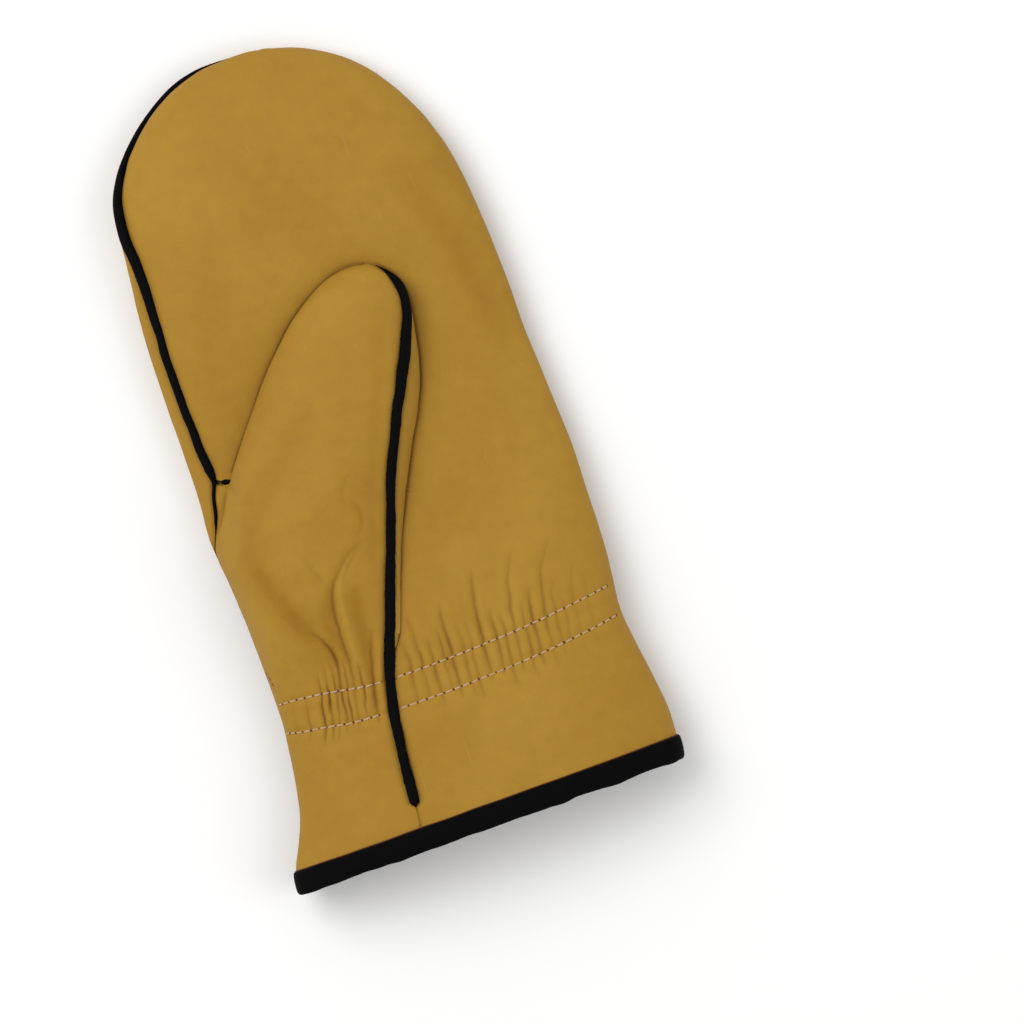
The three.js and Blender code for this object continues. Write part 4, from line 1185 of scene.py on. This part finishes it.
def build_binding(materials):
    """The folded tape: its profile is a Y and a distance out from the leather at each point."""
    out = BINDING["gap"] + BINDING["thickness"]
    inside = LEATHER + BINDING["inner_gap"]
    deep = BINDING["depth"]
    profile = [
        (deep - 1.2, 0.02), (deep + 0.1, 0.08), (deep + 0.3, 0.3), (deep - 0.05, 0.75),
        (deep - 0.5, out - 0.05), (deep - 1.6, out + 0.12), (deep - 3.2, out + 0.2),
        (deep - 5.0, out + 0.2), (2.4, out + 0.15), (1.3, out + 0.02), (0.5, out - 0.35),
        (0.1, out - 0.95), (0.0, -0.3), (0.1, -inside + 0.2), (0.5, -inside - 0.6),
        (1.4, -inside - 0.95), (3.0, -inside - 1.0), (deep - 2.4, -inside - 1.0),
        (deep - 0.5, -inside - 0.9), (deep - 0.1, -inside - 0.55), (deep - 0.3, -inside - 0.1),
        (deep - 1.2, -LEATHER - 0.1),
    ]
    rings = []
    for y, offset in profile:
        ring, normal, along = cuff_ring(y)
        low = 1 - smooth(0.5, 5.5, y)
        turn = 2 * math.pi * along / (along[-1] + along[1])
        loop = np.stack([np.cos(turn), np.sin(turn), 0 * turn], axis=-1) * LOOP_RADIUS
        wave = layered(loop, LOWER_WAVES) * low + layered(loop, UPPER_WAVES) * (1 - low)
        thick = layered(loop + [0, 0, y], THICKNESS_WAVES) * (1 if offset > 0 else 0.5)
        point = ring + normal * (offset + thick)[:, None]
        point[:, 1] = y + wave
        rings.append(point)
    rings = np.array(rings)
    rings[..., 2] = np.maximum(rings[..., 2], BINDING_LEAST_Z)
    faces = tube_faces(len(profile), RING)
    kinds = np.arange(len(faces)) < BROWN_ROWS * RING
    return new_object("cuff_tape", rings.reshape(-1, 3), faces, kinds, materials)


# Stitches

# Along a row, in mm: a thread's radius, length and spacing, where the first one lies and how
# far from the end the last one may lie, and how far beyond a thread its needle hole lies
THREAD = {"radius": 0.3, "length": 2.55, "spacing": 3.3, "first": 0.9, "last": 1.6, "hole": 0.35}
LOOSE_RADIUS = 0.16
# A needle hole is a low dark mound on the leather, painted shade that stands for the hole.
PIT_RINGS = [(1.0, 0.02), (0.75, 0.09), (0.3, 0.12)]  # a needle hole's rings: size and height
PIT_NARROW = 0.55  # its width along the row, as a share of that across it
RAY_FROM = 200.0  # a height above everything


class Surface:
    """The built leather, seen from above."""

    def __init__(self, objects):
        self.trees = []
        for obj in objects:
            places = [v.co[:] for v in obj.data.vertices]
            faces = [p.vertices[:] for p in obj.data.polygons]
            self.trees.append(BVHTree.FromPolygons(places, faces))

    def at(self, x, y):
        """The highest place at a point in plan, and its normal."""
        start = (np.array([x, y, RAY_FROM]) - ORIGIN) * MILLIMETRE
        best = None
        for tree in self.trees:
            place, normal, _, _ = tree.ray_cast(start.tolist(), (0.0, 0.0, -1.0))
            if place is not None and (best is None or place.z > best[0][2]):
                best = (np.array(place), np.array(normal))
        place, normal = best
        return place / MILLIMETRE + ORIGIN, normal * (1.0 if normal[2] > 0 else -1.0)


def stitch(centre, direction, normal, length, radius, sides=8, steps=6):
    """One stitch: a short thread that dips into the leather at both ends."""
    side = np.cross(normal, direction)
    vertices = []
    for i in range(steps + 1):
        t = i / steps
        arch = math.sin(math.pi * t)
        middle = centre + direction * (t - 0.5) * length + normal * radius * (1.1 * arch - 0.8)
        thick = radius * (0.55 + 0.45 * arch**0.5)
        for turn in turns(sides):
            spread = side * math.cos(turn) + normal * math.sin(turn)
            vertices.append(middle + spread * thick)
    faces = tube_faces(steps + 1, sides)
    faces.append(list(range(sides))[::-1])
    faces.append([steps * sides + j for j in range(sides)])
    return vertices, faces


def joined(parts):
    vertices, faces = [], []
    for part_vertices, part_faces in parts:
        base = len(vertices)
        vertices += list(part_vertices)
        faces += [[base + i for i in face] for face in part_faces]
    return np.array(vertices), faces


def needle_hole(centre, normal, direction, radius, sides=8):
    """A small dark mound, painted shade that stands for the hole where the thread goes in, pulled
    long across the row.
    """
    side = np.cross(normal, direction)
    vertices = []
    for size, height in PIT_RINGS:
        for turn in turns(sides):
            spread = direction * PIT_NARROW * math.cos(turn) + side * math.sin(turn)
            vertices.append(centre + spread * radius * size + normal * height)
    faces = tube_faces(len(PIT_RINGS), sides)
    faces.append([2 * sides + j for j in range(sides)])
    return vertices, faces


# Short brown ends of thread beside the crotch and nicks at the wrist's edge, in plan
LOOSE_BITS = [
    ((-50.1, 146.5), (-48.7, 146.0)), ((-49.3, 145.9), (-47.9, 145.5)),
    ((-56.1, 77.6), (-55.8, 76.2)), ((-55.8, 76.2), (-55.4, 74.8)),
    ((-55.6, 75.4), (-55.4, 73.8)), ((-55.3, 73.6), (-54.9, 71.6)),
]


def row_runs(row, clear=2.7):
    """The plan points of a row of stitches, in runs that stop short of the thumb's piping."""
    line = np.array(dense_line(row))
    share = np.linspace(0, 1, 700)
    x = np.interp(share, np.linspace(0, 1, len(line)), line[:, 0])
    y = np.interp(share, np.linspace(0, 1, len(line)), line[:, 1])
    distance, _ = line_profile(x, y, thumb_seam_points[::15, :2])
    free = np.abs(distance) > clear
    starts = [k for k in range(len(x)) if free[k] and (k == 0 or not free[k - 1])]
    stops = [k + 1 for k in range(len(x)) if free[k] and (k + 1 == len(x) or not free[k + 1])]
    return [np.stack([x[i:j], y[i:j]], axis=-1) for i, j in zip(starts, stops)]


def stitch_run(run, surface):
    """The threads and needle holes along one run."""
    found = [surface.at(*place) for place in run]
    path = np.array([place for place, _ in found])
    normals = np.array([normal for _, normal in found])
    length = arc(path)

    def at(grid, s):
        return np.array([np.interp(s, length, grid[:, k]) for k in range(3)])

    threads, holes = [], []
    s = THREAD["first"]
    while s < length[-1] - THREAD["last"]:
        span = THREAD["length"] + RANDOM.uniform(-0.15, 0.15)
        centre = (at(path, s - span * 0.2) + at(path, s + span * 0.2)) / 2
        direction = unit(at(path, s + span / 2) - at(path, s - span / 2))
        direction = unit(direction + np.array([0.0, RANDOM.uniform(0.0, 0.12), 0.0]))
        normal = unit(at(normals, s))
        normal = unit(normal - direction * np.dot(normal, direction))
        threads.append(stitch(centre, direction, normal, span, THREAD["radius"]))
        end = at(path, s + span / 2 + THREAD["hole"])
        size = RANDOM.uniform(0.44, 0.76)
        holes.append(needle_hole(end, unit(at(normals, s + span / 2)), direction, size))
        s += THREAD["spacing"] + RANDOM.uniform(-0.12, 0.12)
    return threads, holes


def build_stitches(surface, materials):
    threads, holes = [], []
    for row in ROWS:
        for run in row_runs(row):
            more_threads, more_holes = stitch_run(run, surface)
            threads += more_threads
            holes += more_holes
    ends = []
    for (ax, ay), (bx, by) in LOOSE_BITS:
        (start, _), (stop, normal) = surface.at(ax, ay), surface.at(bx, by)
        length = math.hypot(bx - ax, by - ay)
        middle = (start + stop) / 2
        ends.append(stitch(middle, unit(stop - start), normal, length, LOOSE_RADIUS))
    vertices, faces = joined(threads + holes + ends)
    kinds = []
    for kind, parts in enumerate([threads, holes, ends]):
        kinds += [kind] * sum(len(part[1]) for part in parts)
    return new_object("wrist_stitches", vertices, faces, kinds, materials)


# Materials


def node_material(name):
    """A new material, its nodes, its shader and the place on the object as a vector."""
    material = bpy.data.materials.new(name)
    material.use_nodes = True
    tree = material.node_tree
    shader = next(n for n in tree.nodes if n.type == "BSDF_PRINCIPLED")
    place = tree.nodes.new("ShaderNodeTexCoord").outputs["Object"]
    return material, tree, shader, place


def set_inputs(node, **values):
    """Sets a node's inputs, whose names have underscores here for spaces."""
    for key, value in values.items():
        node.inputs[key.replace("_", " ")].default_value = value


def add(tree, kind, **values):
    node = tree.nodes.new(kind)
    set_inputs(node, **values)
    return node


def attribute(tree, name):
    node = tree.nodes.new("ShaderNodeAttribute")
    node.attribute_name = name
    return node.outputs["Fac"]


def noise(tree, vector, scale, detail=2.0, roughness=0.5):
    node = add(tree, "ShaderNodeTexNoise", Scale=scale, Detail=detail, Roughness=roughness)
    tree.links.new(vector, node.inputs["Vector"])
    return node.outputs["Fac"]


def ramp(tree, value, stops):
    node = tree.nodes.new("ShaderNodeValToRGB")
    elements = node.color_ramp.elements
    while len(elements) < len(stops):
        elements.new(0.5)
    for element, (position, colour) in zip(elements, stops):
        element.position = position
        element.color = (*colour, 1.0)
    tree.links.new(value, node.inputs["Fac"])
    return node.outputs["Color"]


def blend(tree, factor, a, b, mode="MIX"):
    node = tree.nodes.new("ShaderNodeMix")
    node.data_type = "RGBA"
    node.blend_type = mode
    for socket, value in (("Factor", factor), ("A", a), ("B", b)):
        target = next(s for s in node.inputs if s.name == socket and s.enabled)
        if isinstance(value, bpy.types.NodeSocket):
            tree.links.new(value, target)
        else:
            target.default_value = value
    return next(s for s in node.outputs if s.enabled)


def times(tree, value, factor, kind="ShaderNodeMath"):
    node = tree.nodes.new(kind)
    node.operation = "MULTIPLY"
    tree.links.new(value, node.inputs[0])
    node.inputs[1].default_value = factor
    return node.outputs[0]


def bump(tree, height, distance, strength, normal=None):
    node = add(tree, "ShaderNodeBump", Distance=distance, Strength=strength)
    tree.links.new(height, node.inputs["Height"])
    if normal is not None:
        tree.links.new(normal, node.inputs["Normal"])
    return node.outputs["Normal"]


def leather_material():
    material, tree, shader, place = node_material("golden_leather")
    broad = noise(tree, place, 26.0, 3.0, 0.55)
    tone = ramp(tree, broad, [(0.3, (0.342, 0.18, 0.0195)), (0.5, (0.36, 0.195, 0.0215)),
                              (0.72, (0.377, 0.209, 0.0245))])
    fine = noise(tree, place, 210.0, 4.0, 0.6)
    mottle = ramp(tree, fine, [(0.3, (0.965, 0.96, 0.95)), (0.7, (1.03, 1.03, 1.03))])
    colour = blend(tree, 1.0, tone, mottle, "MULTIPLY")
    # Painted shade and light of the folds and of the thumb's contact: towards 1 darker, towards 0
    # lighter.
    shading = ramp(tree, attribute(tree, "shade"), [
        (0.0, (1.13, 1.17, 1.35)), (0.5, (1.0, 1.0, 1.0)), (1.0, (0.84, 0.76, 0.56)),
    ])
    colour = blend(tree, 1.0, colour, shading, "MULTIPLY")
    streaks = times(tree, place, (900.0, 70.0, 300.0), "ShaderNodeVectorMath")
    scuffs = noise(tree, streaks, 1.0, 2.0, 0.4)
    scuffed = ramp(tree, scuffs, [(0.7, (0.0, 0.0, 0.0)), (0.78, (1.0, 1.0, 1.0))])
    colour = blend(tree, times(tree, scuffed, 0.16), colour, (0.45, 0.3, 0.1, 1))
    # Painted shade in the creases and along the thumb's contact, and the dark line along the seams,
    # as a dark brown.
    crease_shade_and_seam_line = times(tree, attribute(tree, "crease"), 0.8)
    colour = blend(tree, crease_shade_and_seam_line, colour, (0.11, 0.04, 0.005, 1))
    tree.links.new(colour, shader.inputs["Base Color"])
    rough = ramp(tree, fine, [(0.2, (0.62,) * 3), (0.8, (0.74,) * 3)])
    tree.links.new(rough, shader.inputs["Roughness"])
    grain = add(tree, "ShaderNodeTexVoronoi", Scale=1150.0, Randomness=1.0)
    grain.feature = "SMOOTH_F1"
    tree.links.new(place, grain.inputs["Vector"])
    pebble = bump(tree, grain.outputs["Distance"], 0.00012, 0.35)
    wrinkle = noise(tree, place, 520.0, 5.0, 0.65)
    normal = bump(tree, wrinkle, 0.00025, 0.3, pebble)
    tree.links.new(normal, shader.inputs["Normal"])
    set_inputs(shader, Specular_IOR_Level=0.16)
    return material


def flesh_material():
    material, tree, shader, place = node_material("leather_flesh_side")
    nap = noise(tree, place, 600.0, 6.0, 0.7)
    tone = ramp(tree, nap, [(0.3, (0.36, 0.225, 0.06)), (0.7, (0.47, 0.31, 0.1))])
    broad = noise(tree, place, 60.0, 3.0, 0.5)
    patches = ramp(tree, broad, [(0.3, (0.88, 0.88, 0.88)), (0.7, (1.06, 1.05, 1.03))])
    tree.links.new(blend(tree, 1.0, tone, patches, "MULTIPLY"), shader.inputs["Base Color"])
    tree.links.new(bump(tree, nap, 0.0004, 0.6), shader.inputs["Normal"])
    set_inputs(shader, Roughness=0.92, Specular_IOR_Level=0.1, Sheen_Weight=0.2)
    return material


def black_material(name, grain_scale, grain_depth, roughness):
    material, tree, shader, place = node_material(name)
    grain = noise(tree, place, grain_scale, 5.0, 0.65)
    tone = ramp(tree, grain, [(0.3, (0.001, 0.001, 0.0012)), (0.75, (0.0028, 0.0026, 0.0026))])
    tree.links.new(tone, shader.inputs["Base Color"])
    rough = ramp(tree, grain, [(0.3, (roughness - 0.06,) * 3), (0.7, (roughness + 0.06,) * 3)])
    tree.links.new(rough, shader.inputs["Roughness"])
    tree.links.new(bump(tree, grain, grain_depth, 0.5), shader.inputs["Normal"])
    set_inputs(shader, Specular_IOR_Level=0.05)
    return material


def thread_material(name, colour, darker):
    material, tree, shader, place = node_material(name)
    twist = noise(tree, place, 2600.0, 2.0, 0.5)
    tree.links.new(ramp(tree, twist, [(0.35, darker), (0.65, colour)]), shader.inputs["Base Color"])
    tree.links.new(bump(tree, twist, 0.0001, 0.5), shader.inputs["Normal"])
    set_inputs(shader, Roughness=0.8, Specular_IOR_Level=0.2)
    return material


golden = leather_material()
flesh = flesh_material()
piping = black_material("black_piping", 900.0, 0.00012, 0.72)
binding_black = black_material("black_binding", 1300.0, 0.0001, 0.8)
binding_edge = thread_material("binding_edge_brown", (0.105, 0.026, 0.012), (0.05, 0.013, 0.007))
pale_thread = thread_material("pale_thread", (0.6, 0.4, 0.28), (0.42, 0.27, 0.17))
brown_thread = thread_material("brown_thread", (0.1, 0.03, 0.014), (0.05, 0.016, 0.008))
# Painted shade of the needle holes.
needle_hole_shade = thread_material("needle_hole_shade", (0.11, 0.05, 0.013), (0.06, 0.026, 0.007))

# The pieces

leather_thumb_front, front_grid = build_thumb_front([golden, flesh])
leather_thumb_back, back_grid = build_thumb_back([golden, flesh])
leather_hand = build_hand([golden, flesh], Touching([front_grid, back_grid]))
palm = Surface([leather_hand, leather_thumb_front])

pieces = [
    (leather_hand, "hand_panel", "leather"),
    (leather_thumb_front, "thumb_front", "leather"),
    (leather_thumb_back, "thumb_back", "leather"),
    (build_hand_piping(piping), "hand_welt", "welt"),
    (build_thumb_piping(piping), "thumb_welt", "welt"),
    (build_crotch_piping(piping), "crotch_welt", "welt"),
    (build_binding([binding_black, binding_edge]), "cuff_binding", "binding"),
    (build_stitches(palm, [pale_thread, needle_hole_shade, brown_thread]), None, None),
]
for piece, node, slot in pieces:
    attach(piece, "root")
    if node:
        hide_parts(node)

# Floor, light and camera, in metres

FLOOR_HALF = 4.0
FLOOR_Z = -0.0002  # just below the mitten, so that their faces don't coincide


def floor():
    mesh = bpy.data.meshes.new("floor")
    corners = [(-1, -1), (1, -1), (1, 1), (-1, 1)]
    places = [(x * FLOOR_HALF, y * FLOOR_HALF, 0.0) for x, y in corners]
    mesh.from_pydata(places, [], [(0, 1, 2, 3)])
    material, _, shader, _ = node_material("pale_floor")
    pale = (0.93, 0.93, 0.925, 1)
    set_inputs(shader, Base_Color=pale, Roughness=0.9, Specular_IOR_Level=0.1)
    mesh.materials.append(material)
    obj = bpy.data.objects.new("floor", mesh)
    obj.location.z = FLOOR_Z
    bpy.context.collection.objects.link(obj)
    return obj


floor()


def area_light(name, place, size, power):
    """A square light that points at the frame's origin."""
    data = bpy.data.lights.new(name, "AREA")
    data.size = size
    data.energy = power
    obj = bpy.data.objects.new(name, data)
    obj.location = place
    obj.rotation_euler = (-Vector(place)).to_track_quat("-Z", "Y").to_euler()
    bpy.context.collection.objects.link(obj)


area_light("key", (-0.7, 0.8, 1.5), size=1.3, power=19.0)
area_light("fill", (1.2, -0.6, 1.3), size=1.4, power=7.0)

world = bpy.data.worlds.new("studio")
world.use_nodes = True
background = next(n for n in world.node_tree.nodes if n.type == "BACKGROUND")
background.inputs["Color"].default_value = (1.0, 1.0, 1.0, 1)
background.inputs["Strength"].default_value = 0.62
bpy.context.scene.world = world
bpy.context.scene.view_settings.view_transform = "Standard"
bpy.context.scene.view_settings.look = "None"

# The camera looks straight down, and its picture is this wide at the height of the mitten's sides
FRAME_WIDTH = 0.3584
FRAME_CENTRE = (0.04313, -0.0414)
DISTANCE = 3.0
FOCUS_HEIGHT = 0.012
TURN = math.radians(-19.72)
SENSOR = 36.0

camera_data = bpy.data.cameras.new("camera")
camera_data.sensor_width = SENSOR
camera_data.lens = SENSOR * (DISTANCE - FOCUS_HEIGHT) / FRAME_WIDTH
camera_data.clip_start = 0.01
camera_data.clip_end = 20.0
camera = bpy.data.objects.new("camera", camera_data)
camera.location = (*FRAME_CENTRE, DISTANCE)
camera.rotation_euler = (0.0, 0.0, TURN)
bpy.context.collection.objects.link(camera)
bpy.context.scene.camera = camera
